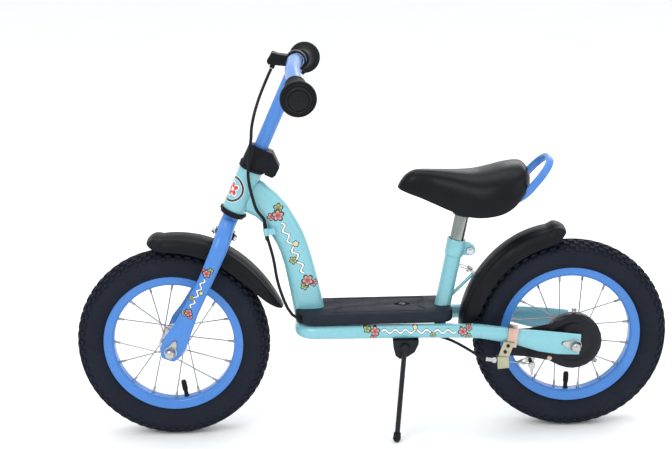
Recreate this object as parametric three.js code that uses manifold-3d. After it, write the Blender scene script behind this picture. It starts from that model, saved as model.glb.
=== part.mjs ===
// Child's balance bike with footboard, band brake and kickstand.
// Units are millimetres, +Z is up, the front of the bike faces -X and its left side faces -Y.
// The origin is on the ground, midway between the two wheel axles.
import * as THREE from 'three';
import { mergeVertices } from 'three/addons/utils/BufferGeometryUtils.js';
import Module from 'manifold-3d';

const wasm = await Module();
wasm.setup();

// ---------------------------------------------------------------------------------------------
// Driving dimensions
// ---------------------------------------------------------------------------------------------
const GAP = 0.3; // between pieces that touch on the real bike
const WALL = 1.6; // wall of the steel tubes
const ROUND = 12; // sides of a middling round piece

const WHEEL = { radius: 150, axleX: 308, axleZ: 150, facets: 32 };
const TYRE = { halfWidth: 23.5, treadHalf: 11, beadRadius: 101, beadHalf: 12.2, wall: 3 };
const RIM = { outer: 108, inner: 93.5, halfWidth: 14.6, wellHalf: 8.5 };
const HUB = { shellRadius: 11, flangeRadius: 22, flangeY: 18.5, bore: 5.2 };
const SPOKES = { count: 16, radius: 1.1, hole: 18, lead: 62 }; // lead: degrees from rim hole to flange hole
const AXLE = { radius: 4.8, hole: 5.2 };

const STEER = { x: -177, z: 421.6, lean: 25 }; // top of the head tube and lean of its axis
const HEAD = { radius: 18.5, bore: 15.5, length: 68 };
const STEERER = { radius: 12.7, bore: 11.5, bottom: -114, top: 31 };
const CROWN_BOLT_S = -109;
const FORK_AXLE = { r: -4, s: -301.5 }; // front axle measured from the steering axis
const FORK_END_Y = 49.5;

const BAR = { radius: 11.1, bore: 9.6, centre: [-3.7, 169.7], halfSpan: 205, stemBottom: -62 };
const GRIP = { radius: 14.2, flange: 25.4, length: 74 };
const LEVER = { bracketY: 75, pivotR: -37, pivotY: 86, s: 158, reach: 86 };

const DOWN_TUBE = { halfWidth: 13.5 };
const RAIL = { radius: 11, z: 171, frontX: -108, cornerRadius: 22, halfTrack: 35 };
const STAY_END = { x: 316, y: 58 };
const SEAT = { x: 106.2, z: 175, lean: 12, tube: 12.7, tubeBore: 11.3, top: 133, post: 11.1 };
const SEAT_POST = { bottom: 40, top: 180, bore: 9.6 };
const SADDLE_CLAMP = { radius: 15, from: 172, to: 188, bolt: 184 };
const SADDLE_PIVOT = { x: 144.5, z: 355 };
const HANDLE = {
  root: [235, 385.5],
  rise: 48.5, // degrees
  half: 42,
  turn: 36,
  reach: 57.5,
  bandHalf: 6,
  edgeHalf: 3.6,
};

const DECK = { front: -117, rear: 125, halfWidth: 43, top: 202, bottom: 183.4, skin: 4 };
const DECK_CORNER = { front: 28, rear: 18, bevel: 4, skirt: 6.5 };
const GUARD_WALL = 2.4;
const DRUM = { radius: 34, from: -41, to: -25 };
const COVER = { radius: 44, wall: 1.6, face: -46, mouth: -31 };
const WIRE = { x: 172, z: 131.3, y: -61, fall: 8.5, radius: 0.8 }; // start and slope of the brake wire
const CASING_RADIUS = 2.4;
const STAND = { x: 49.5, y: -57, z: 150, footX: 35.3, footY: -66, footRadius: 6.5, rod: 4 };

const FINISHES = {
  turquoise: { color: 0x86d5de, roughness: 0.35, metalness: 0.0 },
  blue: { color: 0x5b8fe0, roughness: 0.35, metalness: 0.0 },
  chrome: { color: 0xc9ccd0, roughness: 0.15, metalness: 1.0 },
  zinc: { color: 0xb9b8b0, roughness: 0.4, metalness: 1.0 },
  brass: { color: 0xbfae6a, roughness: 0.4, metalness: 1.0 },
  copper: { color: 0xd8a28c, roughness: 0.4, metalness: 0.8 },
  rubber: { color: 0x17181b, roughness: 0.8, metalness: 0.0 },
  plastic: { color: 0x1d1e22, roughness: 0.45, metalness: 0.0 },
  vinyl: { color: 0x1b1c20, roughness: 0.5, metalness: 0.0 },
  blackSteel: { color: 0x1c1c22, roughness: 0.35, metalness: 0.3 },
};

// ---------------------------------------------------------------------------------------------
// Scene groups
// ---------------------------------------------------------------------------------------------
const bike = new THREE.Group();

/** A group whose own +Z is an axis leaning back from vertical in the XZ plane. */
function leaningGroup(x, z, lean) {
  const group = new THREE.Group();
  group.position.set(x, 0, z);
  group.rotation.y = THREE.MathUtils.degToRad(lean);
  bike.add(group);
  return group;
}

function groupAt(x, y, z) {
  const group = new THREE.Group();
  group.position.set(x, y, z);
  bike.add(group);
  return group;
}

const steering = leaningGroup(STEER.x, STEER.z, STEER.lean);
const seat = leaningGroup(SEAT.x, SEAT.z, SEAT.lean);
const frontWheel = groupAt(-WHEEL.axleX, 0, WHEEL.axleZ);
const rearWheel = groupAt(WHEEL.axleX, 0, WHEEL.axleZ);

function piece(name, geometry, finish, parent = bike) {
  const mesh = new THREE.Mesh(geometry, new THREE.MeshStandardMaterial(FINISHES[finish]));
  mesh.name = name;
  parent.add(mesh);
  return mesh;
}

// ---------------------------------------------------------------------------------------------
// Solids
// ---------------------------------------------------------------------------------------------
const point = (x, y, z) => new THREE.Vector3(x, y, z);
const UP = point(0, 0, 1);
const ACROSS = point(0, 1, 0);
const rad = THREE.MathUtils.degToRad;

/** Keeps positions only, welds them, drops collapsed triangles and turns the faces outward. */
function closed(geometry) {
  const bare = geometry.clone();
  const extras = Object.keys(bare.attributes).filter((key) => key !== 'position');
  extras.forEach((key) => bare.deleteAttribute(key));
  const welded = mergeVertices(bare, 1e-3);
  const position = welded.attributes.position;
  const corners = [0, 1, 2].map(() => point(0, 0, 0));
  const faces = [];
  let volume = 0;
  for (let i = 0; i < welded.index.count; i += 3) {
    const face = [0, 1, 2].map((k) => welded.index.getX(i + k));
    if (new Set(face).size === 3) {
      face.forEach((vertex, k) => corners[k].fromBufferAttribute(position, vertex));
      volume += corners[0].dot(corners[1].clone().cross(corners[2]));
      faces.push(face);
    }
  }
  const outward = volume > 0 ? faces : faces.map(([a, b, c]) => [a, c, b]);
  welded.setIndex(outward.flat());
  return welded;
}

function toManifold(geometry) {
  const welded = closed(geometry);
  const mesh = new wasm.Mesh({
    numProp: 3,
    vertProperties: Float32Array.from(welded.attributes.position.array),
    triVerts: Uint32Array.from(welded.index.array),
  });
  return new wasm.Manifold(mesh);
}

function fromManifold(manifold) {
  const mesh = manifold.getMesh();
  const geometry = new THREE.BufferGeometry();
  geometry.setAttribute('position', new THREE.BufferAttribute(Float32Array.from(mesh.vertProperties), 3));
  geometry.setIndex(Array.from(mesh.triVerts));
  return geometry;
}

function join(...geometries) {
  return fromManifold(geometries.map(toManifold).reduce((all, next) => all.add(next)));
}

function cut(geometry, ...tools) {
  const left = tools.map(toManifold).reduce((rest, tool) => rest.subtract(tool), toManifold(geometry));
  return fromManifold(left);
}

function mirrored(geometry) {
  return closed(geometry.clone().scale(1, -1, 1));
}

/** A closed skin over rings of points; every ring has the same count and is capped from its middle. */
function loft(rings) {
  const count = rings[0].length;
  const positions = rings.flat().flatMap((p) => [p.x, p.y, p.z]);
  const index = [];
  for (let r = 0; r < rings.length - 1; r += 1) {
    for (let k = 0; k < count; k += 1) {
      const a = r * count + k;
      const b = r * count + ((k + 1) % count);
      index.push(a, b, b + count, a, b + count, a + count);
    }
  }
  [0, rings.length - 1].forEach((r, end) => {
    const middle = rings[r].reduce((sum, p) => sum.add(p), point(0, 0, 0)).divideScalar(count);
    const centre = positions.length / 3;
    positions.push(middle.x, middle.y, middle.z);
    for (let k = 0; k < count; k += 1) {
      const a = r * count + k;
      const b = r * count + ((k + 1) % count);
      index.push(...(end === 0 ? [centre, b, a] : [centre, a, b]));
    }
  });
  const geometry = new THREE.BufferGeometry();
  geometry.setAttribute('position', new THREE.Float32BufferAttribute(positions, 3));
  geometry.setIndex(index);
  return closed(geometry);
}

/** A thin closed shell between two grids of points of the same size. */
function shell(outerRows, innerRows) {
  const loops = outerRows.map((row, r) => [...row, ...innerRows[r].slice().reverse()]);
  const count = loops[0].length;
  const index = [];
  for (let r = 0; r < loops.length - 1; r += 1) {
    for (let k = 0; k < count; k += 1) {
      const a = r * count + k;
      const b = r * count + ((k + 1) % count);
      index.push(a, b, b + count, a, b + count, a + count);
    }
  }
  [0, loops.length - 1].forEach((r, end) => {
    for (let k = 0; k < count / 2 - 1; k += 1) {
      const a = r * count + k;
      const far = r * count + count - 1 - k;
      const quad = [a, a + 1, far - 1, a, far - 1, far];
      index.push(...(end === 0 ? quad.slice().reverse() : quad));
    }
  });
  const geometry = new THREE.BufferGeometry();
  const positions = loops.flat().flatMap((p) => [p.x, p.y, p.z]);
  geometry.setAttribute('position', new THREE.Float32BufferAttribute(positions, 3));
  geometry.setIndex(index);
  return closed(geometry);
}

/**
 * A bar along stations { at, a, b }: half-size a along the side vector and b across it.
 * Squareness 1 is an ellipse, and smaller values are squarer.
 */
function bar(stations, side, { sides = 14, squareness = 1, trim = 0 } = {}) {
  const power = (v) => Math.sign(v) * Math.abs(v) ** squareness;
  const rings = stations.map((station, i) => {
    const before = stations[Math.max(i - 1, 0)].at;
    const after = stations[Math.min(i + 1, stations.length - 1)].at;
    const tangent = after.clone().sub(before).normalize();
    const normal = side.clone().cross(tangent).normalize();
    const along = tangent.clone().cross(normal).normalize();
    return Array.from({ length: sides }, (_, k) => {
      const t = (2 * Math.PI * (k + 0.5)) / sides;
      return station.at.clone()
        .addScaledVector(along, (station.a - trim) * power(Math.cos(t)))
        .addScaledVector(normal, (station.b - trim) * power(Math.sin(t)));
    });
  });
  return loft(rings);
}

/** A round rod between two points. */
function rod(from, to, radius, sides = ROUND, endRadius = radius) {
  const span = to.clone().sub(from);
  const geometry = new THREE.CylinderGeometry(endRadius, radius, span.length(), sides);
  geometry.applyQuaternion(new THREE.Quaternion().setFromUnitVectors(ACROSS, span.clone().normalize()));
  const middle = from.clone().addScaledVector(span, 0.5);
  return geometry.translate(middle.x, middle.y, middle.z);
}

/** A rod along the bike's Y axis. */
function crossRod(x, z, fromY, toY, radius, sides = ROUND) {
  return rod(point(x, fromY, z), point(x, toY, z), radius, sides);
}

function box(from, to) {
  const geometry = new THREE.BoxGeometry(to[0] - from[0], to[1] - from[1], to[2] - from[2]);
  return geometry.translate((from[0] + to[0]) / 2, (from[1] + to[1]) / 2, (from[2] + to[2]) / 2);
}

/** Turns a profile of [radius, height] about +Y. A profile off the axis closes on itself. */
function turned(profile, sides = ROUND, phase = 0) {
  const onAxis = profile[0][0] === 0 && profile[profile.length - 1][0] === 0;
  const points = (onAxis ? profile : [...profile, profile[0]]).map(([r, h]) => new THREE.Vector2(r, h));
  return closed(new THREE.LatheGeometry(points, sides, phase));
}

/** The same, about +Z. */
function turnedUp(profile, sides = ROUND, phase = 0) {
  return turned(profile, sides, phase).rotateX(Math.PI / 2);
}

/** A turned piece moved so that its axis starts at one point and runs toward another. */
function turnedAlong(profile, from, to, sides = ROUND) {
  const direction = to.clone().sub(from).normalize();
  const geometry = turned(profile, sides);
  geometry.applyQuaternion(new THREE.Quaternion().setFromUnitVectors(ACROSS, direction));
  return geometry.translate(from.x, from.y, from.z);
}

/** Extrudes an outline in the XZ plane from one Y to another. */
function plate(outline, fromY, toY) {
  const shape = new THREE.Shape(outline.map(([x, z]) => new THREE.Vector2(x, z)));
  const geometry = new THREE.ExtrudeGeometry(shape, { depth: toY - fromY, bevelEnabled: false });
  return closed(geometry.rotateX(Math.PI / 2).translate(0, toY, 0));
}

/** A round cord along a smooth curve. */
function cord(points, radius, steps, sides = 8) {
  const section = new THREE.Shape();
  section.absarc(0, 0, radius, 0, 2 * Math.PI, false);
  const curve = new THREE.CatmullRomCurve3(points, false, 'centripetal');
  const options = { steps, extrudePath: curve, bevelEnabled: false, curveSegments: sides / 2 };
  return closed(new THREE.ExtrudeGeometry(section, options));
}

// ---------------------------------------------------------------------------------------------
// Wheels
// ---------------------------------------------------------------------------------------------
/** A ring about the wheel's axle, drawn as [radius, y], with a flat facet straight down. */
function wheelRing(profile) {
  const half = Math.PI / WHEEL.facets;
  const grown = 1 / Math.cos(half);
  return closed(turned(profile, WHEEL.facets, half).scale(grown, 1, grown));
}

function tyre() {
  const { halfWidth, treadHalf, beadRadius, beadHalf, wall } = TYRE;
  const outerSide = [
    [beadRadius, beadHalf],
    [109, beadHalf],
    [116, halfWidth - 3.5],
    [128, halfWidth],
    [140, halfWidth - 1],
    [WHEEL.radius, treadHalf],
  ];
  const innerSide = [
    [WHEEL.radius - 2 * wall, treadHalf],
    [124, halfWidth - 1.3 * wall],
    [beadRadius, beadHalf - wall],
  ];
  const flip = (list) => list.map(([r, y]) => [r, -y]).reverse();
  return wheelRing([...outerSide, ...flip(outerSide), ...flip(innerSide), ...innerSide]);
}

function rim() {
  const { outer, inner, halfWidth, wellHalf } = RIM;
  const side = [
    [inner, wellHalf],
    [inner + 2, halfWidth],
    [outer, halfWidth],
    [outer, halfWidth - 2],
    [inner + 5.5, halfWidth - 2],
  ];
  const other = side.map(([r, y]) => [r, -y]).reverse();
  return wheelRing([...side, ...other]);
}

/** Hub shell with two flanges, and the spokes that run from them to the rim. */
function hub(leftEnd, rightEnd, phase) {
  const { shellRadius, flangeRadius, flangeY, bore } = HUB;
  const shellProfile = [
    [bore, leftEnd],
    [shellRadius, leftEnd],
    [shellRadius, -flangeY - 1.2],
    [flangeRadius, -flangeY - 1.2],
    [flangeRadius, -flangeY + 1.2],
    [shellRadius, -flangeY + 3],
    [shellRadius, flangeY - 3],
    [flangeRadius, flangeY - 1.2],
    [flangeRadius, flangeY + 1.2],
    [shellRadius, flangeY + 1.2],
    [shellRadius, rightEnd],
    [bore, rightEnd],
  ];
  const parts = [turned(shellProfile, 14)];
  for (let i = 0; i < SPOKES.count; i += 1) {
    const sideSign = i % 2 === 0 ? -1 : 1;
    const leadSign = i % 4 < 2 ? 1 : -1;
    const rimAngle = (2 * Math.PI * i) / SPOKES.count + phase;
    const hubAngle = rimAngle + leadSign * rad(SPOKES.lead);
    const end = RIM.inner - 0.8;
    const { hole, radius } = SPOKES;
    const inner = point(hole * Math.cos(hubAngle), sideSign * flangeY, hole * Math.sin(hubAngle));
    const outer = point(end * Math.cos(rimAngle), sideSign * 2.5, end * Math.sin(rimAngle));
    parts.push(rod(inner, outer, radius, 3));
  }
  return join(...parts);
}

function valve(angle) {
  const profile = [[0, 0], [3.6, 0], [3.2, 9], [4.2, 10], [4.2, 25], [3, 27], [0, 27]];
  const inward = point(-Math.cos(angle), 0, -Math.sin(angle));
  const start = inward.clone().multiplyScalar(-(RIM.inner - 0.6));
  return turnedAlong(profile, start, start.clone().add(inward), 8);
}

/**
 * Domed axle nut with its safety washer, from the frame outward; side is -1 for left and 1 for right.
 * The washer's tab runs to a small hole in the frame, given from the axle, and hooks into it.
 */
function axleNut(fromY, side, [holeX, holeZ]) {
  const thickness = 1.6;
  const reach = Math.hypot(holeX, holeZ);
  const at = (forward, sideways) => [
    (holeX * forward - holeZ * sideways) / reach,
    (holeZ * forward + holeX * sideways) / reach,
  ];
  const tab = plate([at(0, 9), at(reach, 2.6), at(reach + 1.9, 0), at(reach, -2.6), at(0, -9)], 0, thickness);
  const disc = crossRod(0, 0, 0, thickness, 10);
  const hook = crossRod(holeX, holeZ, -2, thickness / 2, 1.9, 8);
  const washer = join(cut(join(disc, tab), crossRod(0, 0, -1, thickness + 1, AXLE.hole)), hook);
  const hexBore = AXLE.hole / Math.cos(Math.PI / 6);
  const profile = [[0, 12], [hexBore, 12], [hexBore, 1], [9, 1], [9, 8], [7.6, 11], [7, 13], [3.5, 15],
    [0, 15.4]];
  const both = join(washer, turned(profile, 6));
  return closed(both.scale(1, side, 1).translate(0, fromY * side, 0));
}

const FRONT_NUT_Y = FORK_END_Y + 2.9;
const REAR_NUT_Y = STAY_END.y + 3.4;
const SIDES = [['left', -1], ['right', 1]];
const WASHER_HOLE_REACH = 18; // from the front axle up the fork end
const REAR_WASHER_HOLE = [-17.5, 3.5]; // from the rear axle
const WASHER_HOLE_RADIUS = 3;

function wheels() {
  const rows = [['front', frontWheel, [-30, 30, -0.022], 279], ['rear', rearWheel, [-29.5, 26, 0.17], 268]];
  rows.forEach(([name, group, hubSize, valveAt]) => {
    piece(`${name}_tyre`, tyre(), 'rubber', group);
    piece(`${name}_rim`, rim(), 'blue', group);
    piece(`${name}_hub`, hub(...hubSize), 'chrome', group);
    piece(`${name}_valve`, valve(rad(valveAt)), 'rubber', group);
  });
  const drumProfile = [[HUB.shellRadius + GAP, DRUM.to], [DRUM.radius, DRUM.to], [DRUM.radius, DRUM.from],
    [DRUM.radius - 3, DRUM.from], [DRUM.radius - 3, DRUM.to - 4], [HUB.shellRadius + GAP, DRUM.to - 4]];
  piece('brake_drum', turned(drumProfile, 20), 'zinc', rearWheel);
}

function axles() {
  const frontAxle = join(
    rod(point(0, -FRONT_NUT_Y - 10, 0), point(0, FRONT_NUT_Y + 10, 0), AXLE.radius, 12),
    ...SIDES.map(([, side]) => rod(point(0, side * 31, 0), point(0, side * (FORK_END_Y - 3), 0), 8, 12)),
  );
  piece('front_axle', frontAxle, 'chrome', frontWheel);
  const rearAxle = join(
    rod(point(0, -REAR_NUT_Y - 10, 0), point(0, REAR_NUT_Y + 10, 0), AXLE.radius, 12),
    rod(point(0, -STAY_END.y + 3.6, 0), point(0, COVER.face - 0.4, 0), 9, 12),
    rod(point(0, 27, 0), point(0, STAY_END.y - 3.6, 0), 8, 12),
  );
  piece('rear_axle', rearAxle, 'chrome', rearWheel);
  const lean = rad(STEER.lean);
  const frontHole = [WASHER_HOLE_REACH * Math.sin(lean), WASHER_HOLE_REACH * Math.cos(lean)];
  SIDES.forEach(([name, side]) => {
    piece(`front_axle_nut_${name}`, axleNut(FRONT_NUT_Y, side, frontHole), 'chrome', frontWheel);
    piece(`rear_axle_nut_${name}`, axleNut(REAR_NUT_Y, side, REAR_WASHER_HOLE), 'chrome', rearWheel);
  });
}

// ---------------------------------------------------------------------------------------------
// Mudguards
// ---------------------------------------------------------------------------------------------
/** Rows of [angle, crown radius, half width, radius of the side edges]. */
function mudguard(stations) {
  const steps = 8;
  const row = ([angle, crown, half, edge], inset) => Array.from({ length: steps + 1 }, (_, k) => {
    const t = (Math.PI / 2) * (2 * (k / steps) - 1);
    const y = (half - inset) * Math.sign(t) * Math.abs(Math.sin(t)) ** 0.85;
    const radius = edge + (crown - inset - edge) * Math.max(Math.cos(t), 0) ** 0.75;
    return point(radius * Math.cos(rad(angle)), y, radius * Math.sin(rad(angle)));
  });
  return shell(stations.map((s) => row(s, 0)), stations.map((s) => row(s, GUARD_WALL)));
}

const FRONT_GUARD = [
  [17.5, 181, 11, 177], [20, 180.5, 20, 171], [25, 179, 27, 163], [32, 177.5, 30.5, 157],
  [43, 176.5, 31.5, 152],
  [56, 176.5, 31.5, 151], [69, 177, 31.5, 151], [81, 178, 31, 151.5], [89, 180, 31, 152],
  [93, 181.5, 29.5, 153],
  [97, 179.5, 26, 155], [100, 174.5, 20, 158], [101.8, 168, 11, 162],
];
const REAR_GUARD = [
  [172.5, 173, 16, 168], [169.5, 173.5, 26, 158], [163, 174.5, 31, 149], [152, 175.5, 32, 148],
  [140, 176, 32, 149],
  [127, 177.5, 32, 150], [115, 178.5, 31.5, 151], [106, 178.8, 31.5, 152], [100, 179.5, 31, 152.5],
  [97, 181.5, 29.5, 153.5], [93.5, 179, 26, 155], [91, 174, 20, 158], [89.3, 168, 11, 162],
];

/** A point given from the steering axis (r rearward, s up along it), in the front wheel's group. */
function steeringToWheel(r, y, s) {
  const lean = rad(STEER.lean);
  const x = STEER.x + r * Math.cos(lean) + s * Math.sin(lean) + WHEEL.axleX;
  const z = STEER.z - r * Math.sin(lean) + s * Math.cos(lean) - WHEEL.axleZ;
  return point(x, y, z);
}

function mudguards() {
  const tabStations = [[16.5, -128], [14.6, -122], [14.4, CROWN_BOLT_S + 8]].map(([r, s]) => (
    { at: steeringToWheel(r, 0, s), a: 8, b: 1 }));
  const tab = bar(tabStations, ACROSS, { sides: 8, squareness: 0.3 });
  const tabHole = rod(steeringToWheel(10, 0, CROWN_BOLT_S), steeringToWheel(20, 0, CROWN_BOLT_S), 3.4, 12);
  piece('front_mudguard', join(mudguard(FRONT_GUARD), cut(tab, tabHole)), 'plastic', frontWheel);
  piece('rear_mudguard', mudguard(REAR_GUARD), 'plastic', rearWheel);

  const outline = [[138.9, 263.3], [149.2, 259.9], [162.2, 250], [161.2, 248.4], [148.3, 258.2],
    [138.3, 261.5]];
  const bolt = { x: 152.6, z: 256.3 };
  const normal = point(Math.sin(rad(38)), 0, Math.cos(rad(38)));
  const low = point(bolt.x, 0, bolt.z).addScaledVector(normal, -8);
  const high = point(bolt.x, 0, bolt.z).addScaledVector(normal, 8);
  const hole = rod(low, high, 2.9, 12);
  piece('rear_mudguard_bracket', cut(plate(outline, -9, 9), hole), 'zinc');
  const mid = (distance) => point(bolt.x, 0, bolt.z).addScaledVector(normal, distance);
  const screw = join(rod(mid(-5.4), mid(2), 2.5, 12), rod(mid(1.3), mid(4.8), 4.6, 6));
  piece('rear_mudguard_bolt', screw, 'zinc');
}

// ---------------------------------------------------------------------------------------------
// Steering: head tube, fork, stem and handlebar
// ---------------------------------------------------------------------------------------------
const forkLegStations = [
  { s: -87, y: 13, r: 0, a: 10.5, b: 8 },
  { s: -99, y: 23, r: 0.5, a: 12, b: 10.5 },
  { s: -112, y: 36, r: 1.5, a: 12.8, b: 10.5 },
  { s: -128, y: 43.5, r: 2, a: 12.6, b: 9.2 },
  { s: -175, y: 44.5, r: 2, a: 11.5, b: 8.5 },
  { s: -229, y: 45.5, r: 0, a: 12, b: 7 },
  { s: -258, y: 47.5, r: -1, a: 15, b: 4.5 },
  { s: -283, y: FORK_END_Y, r: -3, a: 19, b: 2.6 },
  { s: -303, y: FORK_END_Y, r: -4, a: 17.5, b: 2.4 },
  { s: -315, y: FORK_END_Y, r: -3, a: 10, b: 2.4 },
];

/** The left fork leg in the steering group, with its dropout holes. */
function forkLeg() {
  const stations = forkLegStations.map(({ s, y, r, a, b }) => ({ at: point(r, -y, s), a, b }));
  const forward = point(1, 0, 0);
  const outer = bar(stations, forward, { sides: 12, squareness: 0.85 });
  const inner = bar(stations.slice(0, 6), forward, { sides: 8, trim: WALL + 0.4 });
  const { r, s } = FORK_AXLE;
  const steererSpace = rod(point(0, 0, -130), point(0, 0, -60), STEERER.radius + GAP + 0.2, 18);
  const axleHole = rod(point(r, -60, s), point(r, -40, s), AXLE.hole, 10);
  const washerHole = crossRod(r, s + WASHER_HOLE_REACH, -60, -40, WASHER_HOLE_RADIUS, 12);
  return cut(outer, inner, steererSpace, axleHole, washerHole);
}

function headset() {
  const { radius, bore, length } = HEAD;
  const tube = turnedUp([[bore, -length], [radius, -length], [radius, 0], [bore, 0]], 20);
  piece('head_tube', tube, 'turquoise', steering);
  const inside = STEERER.radius + GAP;
  const upper = [[inside, GAP], [radius + 0.4, GAP], [radius + 2.4, 1.6], [radius + 1.8, 5.4],
    [inside, 5.4]];
  const lowTop = -length - GAP;
  const lower = [[inside, lowTop], [inside, lowTop - 8], [radius + 0.6, lowTop - 8],
    [radius + 0.8, lowTop - 4], [radius + 3, lowTop - 3.6], [radius + 3, lowTop]];
  piece('headset_upper', turnedUp(upper, 18), 'plastic', steering);
  piece('headset_lower', turnedUp(lower, 18), 'plastic', steering);
}

function fork() {
  const { radius, bore, bottom, top } = STEERER;
  const tube = turnedUp([[bore, bottom], [radius, bottom], [radius, top], [bore, top]], 18);
  const boltHole = rod(point(-20, 0, CROWN_BOLT_S), point(20, 0, CROWN_BOLT_S), 3.4, 12);
  piece('steerer_tube', cut(tube, boltHole), 'blue', steering);
  const leg = forkLeg();
  piece('fork_leg_left', leg, 'blue', steering);
  piece('fork_leg_right', mirrored(leg), 'blue', steering);
  const bolt = join(
    rod(point(-19, 0, CROWN_BOLT_S), point(22, 0, CROWN_BOLT_S), 3, 12),
    rod(point(-18.6, 0, CROWN_BOLT_S), point(-15, 0, CROWN_BOLT_S), 5.4, 12),
    rod(point(-15.2, 0, CROWN_BOLT_S), point(-13.2, 0, CROWN_BOLT_S), 7, 14),
    rod(point(15.9, 0, CROWN_BOLT_S), point(20.6, 0, CROWN_BOLT_S), 5.6, 6),
  );
  piece('crown_bolt', bolt, 'zinc', steering);
}

function stem() {
  const clampRadius = 15.6;
  const collar = turnedUp([[0, 7], [clampRadius, 7], [clampRadius, 31], [0, 31]], 16);
  const ears = box([8, -7, 9], [28, 7, 24]);
  const steererSpace = rod(point(0, 0, 0), point(0, 0, 40), STEERER.radius + GAP + 0.3, 16);
  const slit = box([0, -1, 0], [40, 1, 40]);
  const [boltR, boltS] = [22.5, 16.5];
  const bolt = join(
    crossRod(boltR, boltS, -10.5, 10.5, 2.9, 12),
    crossRod(boltR, boltS, -11, -6.5, 5, 6),
    crossRod(boltR, boltS, 6.5, 11, 5, 6),
  );
  piece('stem_clamp', join(cut(join(collar, ears), steererSpace, slit), bolt), 'blackSteel', steering);

  const round = turnedUp([[0, 6], [20.8, 6], [20.8, 9.5], [18.8, 12], [18.4, 34.5], [16.4, 38], [0, 38]], 20);
  const rearOutline = [[0, 6], [20, 6], [21, 3.5], [33.5, 3.5], [37, 9], [37.5, 22], [20, 38], [0, 38]];
  const rear = plate(rearOutline, -15, 15);
  const clampSpace = turnedUp([[0, 0], [clampRadius + 0.5, 0], [clampRadius + 0.9, 32], [0, 32]], 16);
  const earSpace = box([8, -12, 0], [29.5, 12, 25]);
  const barSpace = rod(point(0, 0, 20), point(0, 0, 50), BAR.radius + GAP + 0.2, 18);
  piece('stem_cover', cut(join(round, rear), clampSpace, earSpace, barSpace), 'plastic', steering);
}

/** Centre of the crossbar at a signed distance y from the middle, in the steering group. */
function barCentre(y) {
  const [r0, s0] = BAR.centre;
  const bend = THREE.MathUtils.smoothstep(Math.abs(y), 15, 88);
  const sweep = bend * (Math.abs(y) - 48) * 0.118;
  return point(r0 + Math.max(sweep, 0), y, s0 - Math.max(sweep, 0) * 0.5);
}

function handlebar() {
  const ys = [-205, -90, -70, -48, -20, 20, 48, 70, 90, 205];
  const stations = (radius, extra) => ys.map((y) => (
    { at: barCentre(y + Math.sign(y) * extra), a: radius, b: radius }));
  const top = BAR.centre[1];
  const outer = join(
    bar(stations(BAR.radius, -3), UP, { sides: 16 }),
    rod(point(0, 0, BAR.stemBottom), point(0, 0, top - 1), BAR.radius, 18),
  );
  const hollow = join(
    bar(stations(BAR.bore, 3), UP, { sides: 8 }),
    rod(point(0, 0, BAR.stemBottom - 5), point(0, 0, top - 20), BAR.bore, 8),
  );
  piece('handlebar', cut(outer, hollow), 'blue', steering);

  const { radius, flange, length } = GRIP;
  const bore = BAR.radius + 2 * GAP;
  const profile = [[bore, 0], [radius, 0], [radius + 1.4, 2], [radius + 1.4, 5], [radius, 8],
    [radius, length - 24], [radius + 2, length - 16], [flange - 3, length - 11], [flange, length - 9],
    [flange, length - 5],
    [flange - 2.6, length - 4.4], [flange - 3, length - 1], [18.4, length - 0.6], [17.4, length + 2.4],
    [9, length + 4], [0, length + 4.2], [0, length], [bore, length]];
  SIDES.forEach(([name, side]) => {
    const from = barCentre(side * (BAR.halfSpan - length));
    const to = barCentre(side * BAR.halfSpan);
    piece(`grip_${name}`, turnedAlong(profile, from, to, 16), 'rubber', steering);
  });
}

function brakeLever() {
  const { bracketY: y, pivotR, pivotY, s, reach } = LEVER;
  const centre = barCentre(y);
  const ring = crossRod(centre.x, centre.z, y - 8, y + 8, 16, 16);
  const barSpace = crossRod(centre.x, centre.z, y - 30, y + 30, BAR.radius + 2, 16);
  const armOutline = [[centre.x - 6, centre.z - 12], [centre.x - 6, centre.z + 5], [-29, 166.5],
    [-40, 165.5],
    [-41.5, 150], [-37.5, 146.5]];
  const arm = plate(armOutline, y - 7, y + 16);
  const slot = box([-50, y + 4, s - 3.6], [-28, y + 30, s + 3.6]);
  const pinHole = rod(point(pivotR, pivotY, s - 30), point(pivotR, pivotY, s + 30), 2, 10);
  const barrel = rod(point(-30.4, y - 1, 154), point(-30.6, y - 3.5, 143), 4, 10);
  const cableBore = rod(point(-30.4, y - 1, 156), point(-30.7, y - 4.6, 140), 1.3, 8);
  const screw = rod(point(centre.x + 8, y, centre.z - 8), point(centre.x + 20, y, centre.z - 14), 3, 10);
  const bracket = cut(join(ring, arm, barrel, screw), barSpace, slot, pinHole, cableBore);
  piece('lever_bracket', bracket, 'plastic', steering);

  const blade = [[0, -5, 0, 3], [0, 14, 0, 3.4], [1, 30, -2.5, 4.8], [3, 58, -5.5, 5], [5.5, 76, -8, 4.8],
    [7, reach, -9, 3.4]];
  const bladeStations = blade.map(([inward, outward, rise, a]) => (
    { at: point(pivotR + inward, pivotY + outward, s + rise), a, b: 2.6 }));
  const pin = rod(point(pivotR, pivotY, s - 6.9), point(pivotR, pivotY, s + 6.9), 1.8, 10);
  const blades = bar(bladeStations, UP, { sides: 12 });
  piece('brake_lever', join(blades, pin), 'plastic', steering);
}

// ---------------------------------------------------------------------------------------------
// Frame
// ---------------------------------------------------------------------------------------------
/** Rows of [x, z, half depth] from the head tube's axis down to the rails. */
const downTubePath = [
  [-192.7, 387.9, 27.8], [-173.7, 379, 27.6], [-156.5, 366.3, 25], [-143.8, 351.6, 23.8], [-132, 332.3, 23],
  [-122.7, 314.7, 22.6], [-116.5, 298.3, 22.3], [-110.6, 277, 22.3], [-104.9, 249.7, 22.9],
  [-99.8, 222.4, 23.4],
  [-95.5, 196, 23.8], [-93, 174, 24],
];

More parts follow.
